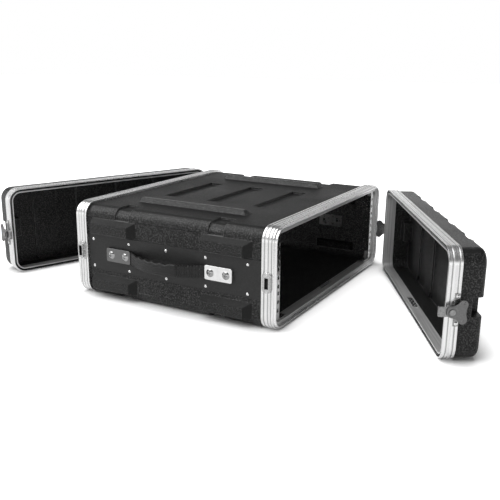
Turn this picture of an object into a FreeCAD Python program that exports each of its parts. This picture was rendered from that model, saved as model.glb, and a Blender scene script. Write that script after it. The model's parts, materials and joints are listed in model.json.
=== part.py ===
import FreeCAD, Part
import math
import os

import Sketcher

V = FreeCAD.Vector
X_AXIS, Y_AXIS, Z_AXIS = V(1, 0, 0), V(0, 1, 0), V(0, 0, 1)

# A two-door 3U equipment rack case. +X is the case's right as seen from its front door, -Y is the
# front opening, +Z is up. The origin is on the floor, under the middle of the body.
# Millimetres. "inset" is measured inward from the outside face of the aluminium frames, and
# "reach" is measured from the middle of the case towards a door.
SIZES = {
    # body and frames
    "frame_width": 520.0,
    "frame_height": 186.0,
    "frame_radius": 27.0,
    "mid_level": 90.0,
    "shoulder_reach": 218.0,
    "tongue_reach": 223.0,
    "strip_reach": 195.0,
    "nose_thickness": 6.0,
    "flange_back_reach": 198.0,
    "groove_width": 1.4,
    "groove_depth": 0.9,
    "groove_pitch": 8.0,
    "tongue_inset": 2.9,
    "tongue_thickness": 3.3,
    "tongue_chamfer": 1.0,
    "opening_inset": 13.0,
    # moulded shell of the body
    "shell_inset": 5.0,
    "shell_wall": 5.0,
    "channel_depth": 3.6,
    "channel_width": 32.0,
    "channel_pitch": 105.0,
    "channel_end": 209.0,
    "channel_top_stop": 158.0,
    "channel_bottom_stop": 17.0,
    "channel_bottom_inset": 6.5,
    "underside_reach": 194.0,
    "pattern_middle": 6.0,
    "slot_half_length": 92.0,
    "slot_depth": 5.0,
    "slot_backing": 5.0,
    "bar_inner": 152.0,
    "bar_outer": 177.0,
    "bar_slope": 8.5,
    "bar_rise": 8.5,
    "bar_half_length": 122.0,
    "bumper_rise": 10.0,
    "bumper_length": 105.0,
    "bumper_end_slope": 16.0,
    "bumper_face": 20.5,
    "bumper_skin": 4.0,
    "bumper_top_low": 128.0,
    "bumper_bottom_low": 16.0,
    "bumper_front_start": 176.0,
    "bumper_rear_start": 77.0,
    # side panel and its rivets
    "panel_low": 54.4,
    "panel_high": 125.6,
    "panel_recess": 1.5,
    "panel_thickness": 2.0,
    "rivet_pitch": 87.0,
    "rivet_middle": 8.5,
    "rivet_low": 61.0,
    "rivet_high": 115.0,
    "rivet_radius": 2.9,
    "rivet_dome": 1.3,
    "rivet_shank": 1.6,
    # handle
    "cap_rear": 117.0,
    "cap_front": 108.5,
    "cap_length": 57.0,
    "cap_height": 27.0,
    "cap_corner": 3.5,
    "cap_lift": 4.0,
    "cap_thickness": 1.8,
    "strap_thickness": 2.0,
    "strap_height": 19.0,
    "handle_bow": 31.0,
    "grip_thickness": 11.0,
    "grip_height": 24.0,
    "backing_thickness": 2.0,
    "screw_pitch": 33.0,
    "screw_head": 7.6,
    "screw_rise": 2.8,
    "screw_shank": 2.9,
    # keepers on the body frames
    "keeper_near": 197.0,
    "keeper_far": 215.0,
    "keeper_height": 37.0,
    "keeper_plate": 1.5,
    "keeper_corner": 7.0,
    "keeper_rivet_reach": 206.0,
    "keeper_rivet_span": 16.0,
    "keeper_rivet_head": 2.0,
    "block_near": 202.5,
    "block_far": 214.5,
    "block_height": 27.0,
    "block_rise": 5.0,
    "block_slot_near": 204.5,
    "block_slot_far": 211.5,
    "block_slot_height": 20.0,
    "block_slot_depth": 5.0,
    # rack rails
    "rack_hole_span": 465.1,
    "rack_unit": 44.45,
    "rack_hole_step": 15.875,
    "rack_hole_radius": 3.4,
    "rail_face_reach": 214.5,
    "rail_inner": 226.5,
    "rail_outer": 247.0,
    "rail_thickness": 2.0,
    "rail_leg": 26.0,
    "rail_height": 159.0,
    "rail_foot": 14.0,
    "rail_corner": 14.3,
    "rail_foot_inner": 200.0,
    "rail_screw_across": 211.0,
    "rail_screw_span": 6.0,
    "rail_screw_reach": 206.5,
    "rail_screw_shank": 1.9,
    "rail_screw_head": 3.6,
    "rail_screw_rise": 1.6,
    "splice_length": 52.0,
    "splice_width": 9.0,
    "splice_thickness": 1.2,
    "splice_dimple_pitch": 12.0,
    "splice_dimple": 1.4,
    # lids
    "lid_edge_reach": 218.4,
    "lid_strip": 21.7,
    "lid_depth": 60.5,
    "lid_wall_inset": 2.6,
    "lid_groove_inset": 6.8,
    "lid_lip_inset": 9.2,
    "lid_lip_set_back": 1.2,
    "lid_groove_floor": 225.6,
    "lid_web": 3.0,
    "seal_top": 223.4,
    "seal_side_gap": 0.2,
    "lid_shell_inset": 2.6,
    "lid_shell_wall": 4.4,
    "lid_back_round": 10.0,
    "lid_channel_width": 46.0,
    "lid_channel_pitch": 106.0,
    "lid_channel_depth": 4.6,
    "lid_channel_low": 13.0,
    "lid_channel_round": 11.0,
    "lid_channel_over": 9.0,
    "lid_channel_drop": 3.5,
    "lid_notch_width": 29.0,
    "lid_notch_depth": 19.0,
    "lid_notch_low": 77.0,
    "lid_notch_high": 109.0,
    "front_stand_off": 25.0,
    "front_swing_x": 254.7,
    "front_swing_reach": 327.5,
    "front_lid_angle": 29.0,
    "rear_stand_off": 34.5,
    "rear_swing_x": 221.3,
    "rear_swing_reach": 290.0,
    "rear_lid_angle": 20.8,
    # latches on the lids
    "latch_pivot": 226.0,
    "latch_plate_thickness": 1.5,
    "latch_plate_set_back": 1.2,
    "latch_ear_reach": 236.0,
    "latch_ear_span": 22.0,
    "latch_ear_radius": 4.6,
    "ear_rivet_head": 3.2,
    "latch_boss_radius": 7.2,
    "latch_boss_rise": 5.2,
    "hook_tip_reach": 205.4,
    "hook_lip": 1.6,
    "hook_lip_drop": 3.0,
    "hook_height": 16.5,
    "hook_thickness": 2.0,
    "hook_lift": 7.2,
    "hook_travel": 4.2,
    "hook_tail": 9.0,
    "hook_corner": 3.0,
    "wing_length": 24.0,
    "wing_height": 38.0,
    "wing_neck": 12.0,
    "wing_thickness": 2.2,
    "wing_lift": 9.6,
    "pin_radius": 3.0,
    "pin_clearance": 0.1,
    "pin_head": 4.6,
    "pin_head_gap": 0.2,
    "pin_head_rise": 1.8,
}

doc = FreeCAD.newDocument("rack_case")
sheet = doc.addObject("Spreadsheet::Sheet", "Size")
for row, (alias, value) in enumerate(SIZES.items(), start=1):
    sheet.set(f"A{row}", alias)
    sheet.set(f"B{row}", str(value))
    sheet.setAlias(f"B{row}", alias)
doc.recompute()

NODES = []


def number(expression):
    """The value of an expression over the sheet's aliases."""
    return float(sheet.evalExpression(expression))


def size(alias):
    return float(sheet.get(alias))


# ---------------------------------------------------------------- helpers for PartDesign bodies
def new_body(name):
    body = doc.addObject("PartDesign::Body", name)
    body.Label = name
    NODES.append(body)
    return body


def plane(body, role):
    return next(f for f in body.Origin.OriginFeatures if f.Role == role)


def new_sketch(body, name, role, offset):
    """A sketch on one of the body's own origin planes, set off along that plane's normal.
    XZ_Plane looks along +Y with its normal towards the front door (-Y), YZ_Plane's normal is +X
    and XY_Plane's is +Z."""
    sketch = body.newObject("Sketcher::SketchObject", name)
    sketch.AttachmentSupport = (plane(body, role), "")
    sketch.MapMode = "FlatFace"
    sketch.setExpression(".AttachmentOffset.Base.z", offset)
    return sketch


def pin_point(sketch, geometry, position, across, up):
    """Bind a sketch point to two expressions, measured from the sketch's origin."""
    for kind, expression in (("DistanceX", across), ("DistanceY", up)):
        index = sketch.addConstraint(
            Sketcher.Constraint(kind, -1, 1, geometry, position, number(expression)))
        sketch.setExpression(f"Constraints[{index}]", expression)


def polygon(sketch, corners):
    """A closed outline through corners, each a pair of expressions."""
    points = [V(number(a), number(b), 0) for a, b in corners]
    first = sketch.GeometryCount
    for start, end in zip(points, points[1:] + points[:1]):
        sketch.addGeometry(Part.LineSegment(start, end))
    count = len(points)
    for i in range(count):
        sketch.addConstraint(
            Sketcher.Constraint("Coincident", first + i, 2, first + (i + 1) % count, 1))
    for i, (across, up) in enumerate(corners):
        pin_point(sketch, first + i, 1, across, up)


def rectangle(sketch, left, right, low, high):
    polygon(sketch, [(left, low), (right, low), (right, high), (left, high)])


def circle(sketch, across, up, radius):
    centre = V(number(across), number(up), 0)
    index = sketch.addGeometry(Part.Circle(centre, V(0, 0, 1), number(radius)))
    pin_point(sketch, index, 3, across, up)
    rule = sketch.addConstraint(Sketcher.Constraint("Radius", index, number(radius)))
    sketch.setExpression(f"Constraints[{rule}]", radius)


def round_rectangle(sketch, left, right, low, high, radius):
    """A rectangle with four equal round corners, all sizes expressions."""
    x0, x1, y0, y1 = number(left), number(right), number(low), number(high)
    r = number(radius)
    first = sketch.GeometryCount
    turn = math.pi / 2
    sides = [
        (V(x0 + r, y0, 0), V(x1 - r, y0, 0), V(x1 - r, y0 + r, 0), -turn),
        (V(x1, y0 + r, 0), V(x1, y1 - r, 0), V(x1 - r, y1 - r, 0), 0.0),
        (V(x1 - r, y1, 0), V(x0 + r, y1, 0), V(x0 + r, y1 - r, 0), turn),
        (V(x0, y1 - r, 0), V(x0, y0 + r, 0), V(x0 + r, y0 + r, 0), 2 * turn),
    ]
    for start, end, centre, angle in sides:
        sketch.addGeometry(Part.LineSegment(start, end))
        round_corner = Part.Circle(centre, V(0, 0, 1), r)
        sketch.addGeometry(Part.ArcOfCircle(round_corner, angle, angle + turn))
    for i in range(8):
        sketch.addConstraint(
            Sketcher.Constraint("Tangent", first + i, 2, first + (i + 1) % 8, 1))
    for side, kind in enumerate(("Horizontal", "Vertical", "Horizontal", "Vertical")):
        sketch.addConstraint(Sketcher.Constraint(kind, first + 2 * side))
    for corner in (3, 5, 7):
        sketch.addConstraint(Sketcher.Constraint("Equal", first + 1, first + corner))
    rules = [
        (Sketcher.Constraint("Radius", first + 1, r), radius),
        (Sketcher.Constraint("DistanceY", -1, 1, first, 1, y0), low),
        (Sketcher.Constraint("DistanceX", -1, 1, first + 2, 1, x1), right),
        (Sketcher.Constraint("DistanceY", -1, 1, first + 4, 1, y1), high),
        (Sketcher.Constraint("DistanceX", -1, 1, first + 6, 1, x0), left),
    ]
    for rule, expression in rules:
        index = sketch.addConstraint(rule)
        sketch.setExpression(f"Constraints[{index}]", expression)


def case_outline(sketch, inset):
    """The case's cross-section, a rounded rectangle, moved in by an expression."""
    round_rectangle(
        sketch,
        f"-(Size.frame_width / 2 - ({inset}))",
        f"Size.frame_width / 2 - ({inset})",
        f"{inset}",
        f"Size.frame_height - ({inset})",
        f"max(Size.frame_radius - ({inset}); 4)")


def pad(body, sketch, name, length):
    feature = body.newObject("PartDesign::Pad", name)
    feature.Profile = sketch
    feature.setExpression("Length", length)
    sketch.Visibility = False
    return feature


def pocket(body, sketch, name, length):
    """Cut from the sketch against its normal."""
    feature = body.newObject("PartDesign::Pocket", name)
    feature.Profile = sketch
    feature.setExpression("Length", length)
    sketch.Visibility = False
    return feature


def ring(body, name, outer, inner, back, front):
    """A band of the case's section between two insets, from reach back to reach front."""
    sketch = new_sketch(body, f"{name}_sketch", "XZ_Plane", back)
    case_outline(sketch, outer)
    if inner:
        case_outline(sketch, inner)
    return pad(body, sketch, name, f"({front}) - ({back})")


def mirrored(body, name, originals, role):
    """The same features again on the other side of one of the body's origin planes."""
    feature = body.newObject("PartDesign::Mirrored", name)
    feature.Originals = originals
    feature.MirrorPlane = (plane(body, role), [""])
    body.Tip = feature
    return feature


def wedge(body, kind, name, low, high, top_low, top_high, rise, placement):
    """A block that tapers from a base rectangle to a top one. Local X and Z lie in the base, and
    local Y is the way it rises. low and high are (X, Z) expressions of the base, top_low and
    top_high of the top."""
    feature = body.newObject(kind, name)
    names = ("Xmin", "Zmin", "Xmax", "Zmax", "X2min", "Z2min", "X2max", "Z2max")
    for prop, expression in zip(names, (*low, *high, *top_low, *top_high)):
        feature.setExpression(prop, expression)
    feature.Ymin = 0
    feature.setExpression("Ymax", rise)
    feature.Placement = placement
    return feature


# ---------------------------------------------------------------- placements
HALF_TURN = FreeCAD.Placement(V(0, 0, 0), FreeCAD.Rotation(Z_AXIS, 180))


def turned_over(level):
    """Half a turn about the line along Y at a height, which swaps left and right."""
    level = V(0, 0, level)
    return FreeCAD.Placement(V(0, 0, 0), FreeCAD.Rotation(Y_AXIS, 180), level)


def standing(end):
    """Where a lid stands beside the case, from its place on the case: pulled straight off by the
    stand-off, then swung about an upright axis."""
    outward = -1 if end == "front" else 1
    swing = V(size(f"{end}_swing_x"), outward * size(f"{end}_swing_reach"), 0)
    turn = FreeCAD.Rotation(Z_AXIS, -outward * size(f"{end}_lid_angle"))
    pulled = V(0, outward * size(f"{end}_stand_off"), 0)
    return (FreeCAD.Placement(V(0, 0, 0), turn, swing)
            * FreeCAD.Placement(pulled, FreeCAD.Rotation()))


def at_end(end):
    return FreeCAD.Placement() if end == "front" else HALF_TURN


def side_turn(end, side):
    """Side parts are drawn on the +X side of the front. The rear is the front turned about Z,
    which carries +X to -X, so whether a part is turned over follows from both names."""
    drawn_here = (side == "right") == (end == "front")
    return FreeCAD.Placement() if drawn_here else turned_over(size("mid_level"))


def on_case(end, side):
    return at_end(end) * side_turn(end, side)


def on_lid(end, side):
    return standing(end) * at_end(end) * side_turn(end, side)


def holes(body, name, role, offset, centres, radius, length):
    """Round holes cut from one plane."""
    sketch = new_sketch(body, f"{name}_sketch", role, offset)
    for across, up in centres:
        circle(sketch, across, up, radius)
    return pocket(body, sketch, name, length)


SIDE_FACE = "(Size.frame_width / 2 - Size.shell_inset)"
PANEL_FACE = f"({SIDE_FACE} - Size.panel_recess + Size.panel_thickness)"
RIVET_CENTRES = [
    (f"Size.rivet_middle + {i} * Size.rivet_pitch", f"Size.rivet_{row}")
    for row in ("low", "high") for i in (-2, -1, 0, 1, 2)]
CAP_CENTRES = ("Size.cap_rear", "-Size.cap_front")
SCREW_CENTRES = [
    (f"{cap} + {i} * Size.screw_pitch / 2", "Size.mid_level")
    for cap in CAP_CENTRES for i in (-1, 1)]


RAIL_SCREW_CENTRES = [
    (f"{side} * (Size.rail_screw_across + {i} * Size.rail_screw_span)",
     f"{end} * Size.rail_screw_reach")
    for side in (-1, 1) for i in (-1, 1) for end in (-1, 1)]


def drill_side_wall(body, name, offset, length):
    """The rivet and screw holes that go through a side wall, on both sides."""
    small = holes(body, f"{name}_rivet_holes", "YZ_Plane", offset, RIVET_CENTRES,
                  "Size.rivet_shank", length)
    large = holes(body, f"{name}_screw_holes", "YZ_Plane", offset, SCREW_CENTRES,
                  "Size.screw_shank", length)
    return small, large


# ---------------------------------------------------------------- the case's body
def frame_extrusion(name):
    """The body's edge extrusion: an outer strip and an inner flange that hold the shell's edge
    between them, a nose across it, and the tongue that enters the lid's groove."""
    body = new_body(name)
    ring(body, "strip", "0", "Size.shell_inset", "Size.strip_reach", "Size.shoulder_reach")
    ring(body, "nose", "Size.shell_inset", "Size.opening_inset",
         "Size.shoulder_reach - Size.nose_thickness", "Size.shoulder_reach")
    ring(body, "flange", "Size.shell_inset + Size.shell_wall", "Size.opening_inset",
         "Size.flange_back_reach", "Size.shoulder_reach - Size.nose_thickness")
    tongue = ring(body, "tongue", "Size.tongue_inset",
                  "Size.tongue_inset + Size.tongue_thickness",
                  "Size.shoulder_reach", "Size.tongue_reach")
    doc.recompute()
    tip_edges = [
        f"Edge{i}" for i, edge in enumerate(tongue.Shape.Edges, start=1)
        if abs(edge.BoundBox.YMin + size("tongue_reach")) < 0.01
        and abs(edge.BoundBox.YMax + size("tongue_reach")) < 0.01]
    tip = body.newObject("PartDesign::Chamfer", "tongue_tip")
    tip.Base = (tongue, tip_edges)
    tip.setExpression("Size", "Size.tongue_chamfer")
    for i in (1, 2):
        front = f"Size.shoulder_reach - {i} * Size.groove_pitch + Size.groove_width"
        sketch = new_sketch(body, f"groove_{i}_sketch", "XZ_Plane", front)
        case_outline(sketch, "-1")
        case_outline(sketch, "Size.groove_depth")
        pocket(body, sketch, f"groove_{i}", "Size.groove_width")
    rivets = [("-Size.keeper_rivet_reach", f"Size.mid_level + {i} * Size.keeper_rivet_span")
              for i in (-1, 1)]
    drilled = holes(body, "keeper_holes", "YZ_Plane", "Size.frame_width / 2", rivets,
                    "Size.rivet_shank", "Size.shell_inset - 1")
    mirrored(body, "keeper_holes_left", [drilled], "YZ_Plane")
    screws = [(across, y) for across, y in RAIL_SCREW_CENTRES if number(y) < 0]
    flange = "Size.opening_inset - Size.shell_inset - Size.shell_wall"
    for name, level in (("foot_holes", "Size.opening_inset"),
                        ("head_holes", "Size.frame_height - Size.shell_inset - Size.shell_wall")):
        holes(body, name, "XY_Plane", level, screws, "Size.rail_screw_shank", flange)
    return body


def case_shell():
    """The moulded sleeve, with its stacking bars and slots, edge channels and bumpers."""
    body = new_body("case_shell")
    end = "Size.shoulder_reach - Size.nose_thickness"
    ring(body, "sleeve", "Size.shell_inset", "Size.shell_inset + Size.shell_wall",
         f"-({end})", end)
    top = "(Size.frame_height - Size.shell_inset)"
    # the underside is thicker, so that it stands level with the frames
    underside = new_sketch(body, "underside_sketch", "XZ_Plane", "-Size.underside_reach")
    radius = "Size.frame_radius - Size.shell_inset"
    middle_of_wall = "(Size.shell_inset + Size.shell_wall / 2)"
    round_rectangle(underside, f"-{SIDE_FACE}", SIDE_FACE, "0",
                    f"Size.frame_height - {middle_of_wall}", radius)
    round_rectangle(
        underside, f"-(Size.frame_width / 2 - {middle_of_wall})",
        f"Size.frame_width / 2 - {middle_of_wall}", middle_of_wall,
        f"Size.frame_height - {middle_of_wall} - 1", f"{radius} - Size.shell_wall / 2")
    pad(body, underside, "underside", "2 * Size.underside_reach")
    # slots across the top, with the moulding carried below them
    slots = [(i, f"(Size.pattern_middle + {i} * Size.channel_pitch)") for i in (-1, 0, 1)]
    for i, middle in slots:
        under = new_sketch(body, f"slot_{i + 1}_backing_sketch", "XY_Plane",
                           f"{top} - Size.shell_wall - Size.slot_backing + 1")
        rectangle(under, "-Size.slot_half_length - 4", "Size.slot_half_length + 4",
                  f"{middle} - Size.channel_width / 2 - 4", f"{middle} + Size.channel_width / 2 + 4")
        pad(body, under, f"slot_{i + 1}_backing", "Size.slot_backing")
    for i, middle in slots:
        sketch = new_sketch(body, f"slot_{i + 1}_sketch", "XY_Plane", top)
        rectangle(sketch, "-Size.slot_half_length", "Size.slot_half_length",
                  f"{middle} - Size.channel_width / 2", f"{middle} + Size.channel_width / 2")
        pocket(body, sketch, f"slot_{i + 1}", "Size.slot_depth")
    # the recess that each side panel lies in
    recess = new_sketch(body, "panel_recess_sketch", "YZ_Plane", SIDE_FACE)
    rectangle(recess, f"-({end}) - 1", f"{end} + 1", "Size.panel_low", "Size.panel_high")
    recess_cut = pocket(body, recess, "panel_recess", "Size.panel_recess")
    mirrored(body, "panel_recess_left", [recess_cut], "YZ_Plane")
    # channels that wrap round the long edges
    for i in (-1, 1):
        front = f"-(Size.pattern_middle + {i} * Size.channel_pitch - Size.channel_width / 2)"
        sketch = new_sketch(body, f"channel_{i + 1}_sketch", "XZ_Plane", front)
        for side in (-1, 1):
            edge_channel(sketch, side, "top")
            edge_channel(sketch, side, "bottom")
        pocket(body, sketch, f"channel_{i + 1}", "Size.channel_width")
    # stacking bars on the top
    upward = FreeCAD.Rotation(X_AXIS, 90)
    bar = wedge(
        body, "PartDesign::AdditiveWedge", "stacking_bar",
        ("Size.bar_inner", "-Size.bar_half_length"), ("Size.bar_outer", "Size.bar_half_length"),
        ("Size.bar_inner + Size.bar_slope", "-Size.bar_half_length"),
        ("Size.bar_outer - Size.bar_slope", "Size.bar_half_length - Size.bar_slope"),
        "Size.bar_rise",
        FreeCAD.Placement(V(0, size("pattern_middle"), number(top)), upward))
    mirrored(body, "stacking_bar_left", [bar], "YZ_Plane")
    # bumpers on the sides, each hollow behind a skin
    outward = FreeCAD.Rotation(Z_AXIS, 90)
    skin = "Size.bumper_skin"
    for row in ("top", "bottom"):
        for where, start in (("front", -size("bumper_front_start")),
                             ("rear", size("bumper_rear_start"))):
            low = f"bumper_{row}_low"
            place = FreeCAD.Placement(V(-number(SIDE_FACE), start, size(low)), outward)
            block = wedge(
                body, "PartDesign::AdditiveWedge", f"bumper_{row}_{where}",
                ("0", "0"), ("Size.bumper_length", "Size.bumper_face + Size.bumper_rise"),
                ("Size.bumper_end_slope", "0"), ("Size.bumper_length", "Size.bumper_face"),
                "Size.bumper_rise", place)
            mirrored(body, f"bumper_{row}_{where}_right", [block], "YZ_Plane")
            inside = FreeCAD.Placement(
                V(-number(SIDE_FACE) + size("shell_wall") + 0.5, start, size(low)), outward)
            hollow = wedge(
                body, "PartDesign::SubtractiveWedge", f"hollow_{row}_{where}",
                (f"{skin} + 4", skin),
                (f"Size.bumper_length - {skin}", f"Size.bumper_face + Size.bumper_rise - {skin}"),
                (f"Size.bumper_end_slope + {skin}", skin),
                (f"Size.bumper_length - {skin}", f"Size.bumper_face - {skin} + 1"),
                f"Size.bumper_rise + Size.shell_wall + 0.5 - {skin}", inside)
            mirrored(body, f"hollow_{row}_{where}_right", [hollow], "YZ_Plane")
    drilled = drill_side_wall(body, "wall", SIDE_FACE, "Size.shell_wall + 1")
    for feature in drilled:
        mirrored(body, f"{feature.Name}_left", [feature], "YZ_Plane")


QUARTERS = {(1, "top"): 0, (-1, "top"): 1, (-1, "bottom"): 2, (1, "bottom"): 3}


def edge_channel(sketch, side, edge):
    """The outline of a channel that follows one long edge of the shell, in the case's section:
    along the flat, out and round the outside, and back along an arc at the channel's depth."""
    inset = {"top": "(Size.shell_inset + Size.channel_depth)",
             "bottom": "Size.channel_bottom_inset"}[edge]
    sign = "" if side > 0 else "-"
    wall = f"{sign}(Size.frame_width / 2 - {inset})"
    beyond = f"{sign}(Size.frame_width / 2)"
    end = f"{sign}Size.channel_end"
    middle_across = f"{sign}(Size.frame_width / 2 - Size.frame_radius)"
    if edge == "top":
        stop, outside = "Size.channel_top_stop", "Size.frame_height"
        level = f"Size.frame_height - {inset}"
        middle_up = "Size.frame_height - Size.frame_radius"
    else:
        stop, outside = "Size.channel_bottom_stop", "-1"
        level = inset
        middle_up = "Size.frame_radius"
    centre = V(number(middle_across), number(middle_up), 0)
    radius = size("frame_radius") - number(inset)
    corners = [(end, level), (end, outside), (beyond, outside), (beyond, stop), (wall, stop)]
    points = [V(number(across), number(up), 0) for across, up in corners]
    flat = V(centre.x, number(level), 0)
    upright = V(number(wall), centre.y, 0)
    first = sketch.GeometryCount
    for start, finish in zip([flat] + points, points + [upright]):
        sketch.addGeometry(Part.LineSegment(start, finish))
    start_angle = QUARTERS[side, edge] * math.pi / 2
    arc = sketch.addGeometry(Part.ArcOfCircle(
        Part.Circle(centre, V(0, 0, 1), radius), start_angle, start_angle + math.pi / 2))
    last = first + len(corners)
    for i, (across, up) in enumerate(corners):
        sketch.addConstraint(Sketcher.Constraint("Coincident", first + i, 2, first + i + 1, 1))
        pin_point(sketch, first + i, 2, across, up)
    upright_end, flat_end = (1, 2) if QUARTERS[side, edge] % 2 == 0 else (2, 1)
    sketch.addConstraint(Sketcher.Constraint("Tangent", last, 2, arc, upright_end))
    sketch.addConstraint(Sketcher.Constraint("Tangent", arc, flat_end, first, 1))
    sketch.addConstraint(Sketcher.Constraint("Horizontal", first))
    sketch.addConstraint(Sketcher.Constraint("Vertical", last))


def side_panel(side):
    """A smooth flat panel in the recess of one side wall."""
    body = new_body(f"side_panel_{side}")
    back = f"{SIDE_FACE} - Size.panel_recess"
    low, high = (back, PANEL_FACE) if side == "right" else (f"-{PANEL_FACE}", f"-({back})")
    sketch = new_sketch(body, "panel_sketch", "YZ_Plane", low)
    rectangle(sketch, "-Size.strip_reach", "Size.strip_reach", "Size.panel_low", "Size.panel_high")
    pad(body, sketch, "panel", "Size.panel_thickness")
    drill_side_wall(body, "panel", high, "Size.panel_thickness")


def box(body, kind, name, x_range, y_range, z_range):
    """A PartDesign box between pairs of expressions. Its corner follows the sheet too."""
    feature = body.newObject(kind, name)
    spans = (("Length", "x", x_range), ("Width", "y", y_range), ("Height", "z", z_range))
    for prop, axis, (low, high) in spans:
        feature.setExpression(prop, f"({high}) - ({low})")
        feature.setExpression(f".Placement.Base.{axis}", low)
    return feature


def handle_caps(side):
    """Two pressed metal caps that clamp the ends of the handle's strap against the wall."""
    for where, middle in zip(("rear", "front"), CAP_CENTRES):
        body = new_body(f"handle_cap_{where}_{side}")
        face = f"{PANEL_FACE} + Size.cap_lift"
        sketch = new_sketch(body, "cap_sketch", "YZ_Plane", PANEL_FACE)
        round_rectangle(
            sketch, f"{middle} - Size.cap_length / 2", f"{middle} + Size.cap_length / 2",
            "Size.mid_level - Size.cap_height / 2", "Size.mid_level + Size.cap_height / 2",
            "Size.cap_corner")
        pad(body, sketch, "cap", "Size.cap_lift + Size.cap_thickness")
        towards_grip, away = ("-", "+") if where == "rear" else ("+", "-")
        tunnel = new_sketch(body, "tunnel_sketch", "YZ_Plane", face)
        ends = sorted((f"{middle} {away} (Size.cap_length / 2 - 3)",
                       f"{middle} {towards_grip} (Size.cap_length / 2 + 1)"), key=number)
        rectangle(tunnel, *ends, "Size.mid_level - Size.strap_height / 2 - 0.3",
                  "Size.mid_level + Size.strap_height / 2 + 0.3")
        pocket(body, tunnel, "tunnel", "Size.cap_lift")
        centres = [(f"{middle} + {i} * Size.screw_pitch / 2", "Size.mid_level") for i in (-1, 1)]
        holes(body, "screw_holes", "YZ_Plane", f"{face} + Size.cap_thickness", centres,
              "Size.screw_shank", "Size.cap_thickness")
        body.Placement = on_case("front", side)


GRIP_REAR = "(Size.cap_rear - Size.cap_length / 2)"
GRIP_FRONT = "(-Size.cap_front + Size.cap_length / 2)"


def bow(sketch, outer_start, outer_bow, inner_start, inner_bow):
    """A bowed strip in plan between the two caps, thicker in the middle where the bows differ.
    Each side is one arc through its two ends, its radius worked out from chord and rise."""
    chord = f"(({GRIP_REAR} - {GRIP_FRONT}) / 2)"
    middle = (number(GRIP_REAR) + number(GRIP_FRONT)) / 2
    first = sketch.GeometryCount
    for start, top in ((outer_start, outer_bow), (inner_start, inner_bow)):
        x, rise = number(start), number(top) - number(start)
        radius = (number(chord) ** 2 + rise ** 2) / (2 * rise)
        swing = math.asin(number(chord) / radius)
        circle_of_arc = Part.Circle(V(x + rise - radius, middle, 0), V(0, 0, 1), radius)
        sketch.addGeometry(Part.ArcOfCircle(circle_of_arc, -swing, swing))
    for y in (GRIP_FRONT, GRIP_REAR):
        sketch.addGeometry(Part.LineSegment(
            V(number(inner_start), number(y), 0), V(number(outer_start), number(y), 0)))
    for line, (y, end) in enumerate(((GRIP_FRONT, 1), (GRIP_REAR, 2)), start=first + 2):
        sketch.addConstraint(Sketcher.Constraint("Coincident", line, 1, first + 1, end))
        sketch.addConstraint(Sketcher.Constraint("Coincident", line, 2, first, end))
        pin_point(sketch, line, 1, inner_start, y)
        pin_point(sketch, line, 2, outer_start, y)
    for arc, (start, top) in enumerate(
            ((outer_start, outer_bow), (inner_start, inner_bow)), start=first):
        rise = f"(({top}) - ({start}))"
        radius = f"(pow({chord}; 2) + pow({rise}; 2)) / (2 * {rise})"
        rule = sketch.addConstraint(Sketcher.Constraint("Radius", arc, number(radius)))
        sketch.setExpression(f"Constraints[{rule}]", radius)


STRAP_FOOT = f"({PANEL_FACE} + 1)"
STRAP_TOP = f"({STRAP_FOOT} + Size.strap_thickness)"


def handle(side):
    """A bowed rubber grip moulded over a spring steel strap, whose ends go under the caps."""
    strap = new_body(f"handle_strap_{side}")
    sketch = new_sketch(strap, "bow_sketch", "XY_Plane",
                        "Size.mid_level - Size.strap_height / 2")
    bow(sketch, STRAP_TOP, f"{PANEL_FACE} + Size.handle_bow + Size.strap_thickness / 2",
        STRAP_FOOT, f"{PANEL_FACE} + Size.handle_bow - Size.strap_thickness / 2")
    pad(strap, sketch, "bow", "Size.strap_height")
    for where, middle, edge in zip(("rear", "front"), CAP_CENTRES, (GRIP_REAR, GRIP_FRONT)):
        outward = "+" if where == "rear" else "-"
        tail = new_sketch(strap, f"{where}_tail_sketch", "YZ_Plane", STRAP_FOOT)
        ends = sorted((edge, f"{middle} {outward} (Size.cap_length / 2 - 4)"), key=number)
        rectangle(tail, *ends, "Size.mid_level - Size.strap_height / 2",
                  "Size.mid_level + Size.strap_height / 2")
        pad(strap, tail, f"{where}_tail", "Size.strap_thickness")
    holes(strap, "screw_holes", "YZ_Plane", STRAP_TOP, SCREW_CENTRES, "Size.screw_shank",
          "Size.strap_thickness")
    strap.Placement = on_case("front", side)

    grip = new_body(f"handle_grip_{side}")
    sketch = new_sketch(grip, "grip_sketch", "XY_Plane", "Size.mid_level - Size.grip_height / 2")
    bow(sketch, f"{STRAP_TOP} + 1.2",
        f"{PANEL_FACE} + Size.handle_bow + Size.grip_thickness / 2",
        f"{PANEL_FACE} + 0.2", f"{PANEL_FACE} + Size.handle_bow - Size.grip_thickness / 2")
    pad(grip, sketch, "grip", "Size.grip_height")
    core = new_sketch(grip, "core_sketch", "XY_Plane", "Size.mid_level + Size.strap_height / 2")
    bow(core, STRAP_TOP, f"{PANEL_FACE} + Size.handle_bow + Size.strap_thickness / 2",
        STRAP_FOOT, f"{PANEL_FACE} + Size.handle_bow - Size.strap_thickness / 2")
    pocket(grip, core, "core", "Size.strap_height")
    grip.Placement = on_case("front", side)


def backing_plate(side):
    """Two steel plates inside the wall, which the handle's screws pull against."""
    for where, middle in zip(("rear", "front"), CAP_CENTRES):
        body = new_body(f"handle_backing_{where}_{side}")
        sketch = new_sketch(body, "plate_sketch", "YZ_Plane",
                            f"{SIDE_FACE} - Size.shell_wall - Size.backing_thickness")
        rectangle(sketch, f"{middle} - Size.cap_length / 2", f"{middle} + Size.cap_length / 2",
                  "Size.mid_level - Size.cap_height / 2", "Size.mid_level + Size.cap_height / 2")
        for i in (-1, 1):
            circle(sketch, f"{middle} + {i} * Size.screw_pitch / 2", "Size.mid_level",
                   "Size.screw_shank")
        pad(body, sketch, "plate", "Size.backing_thickness")
        body.Placement = on_case("front", side)


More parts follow.
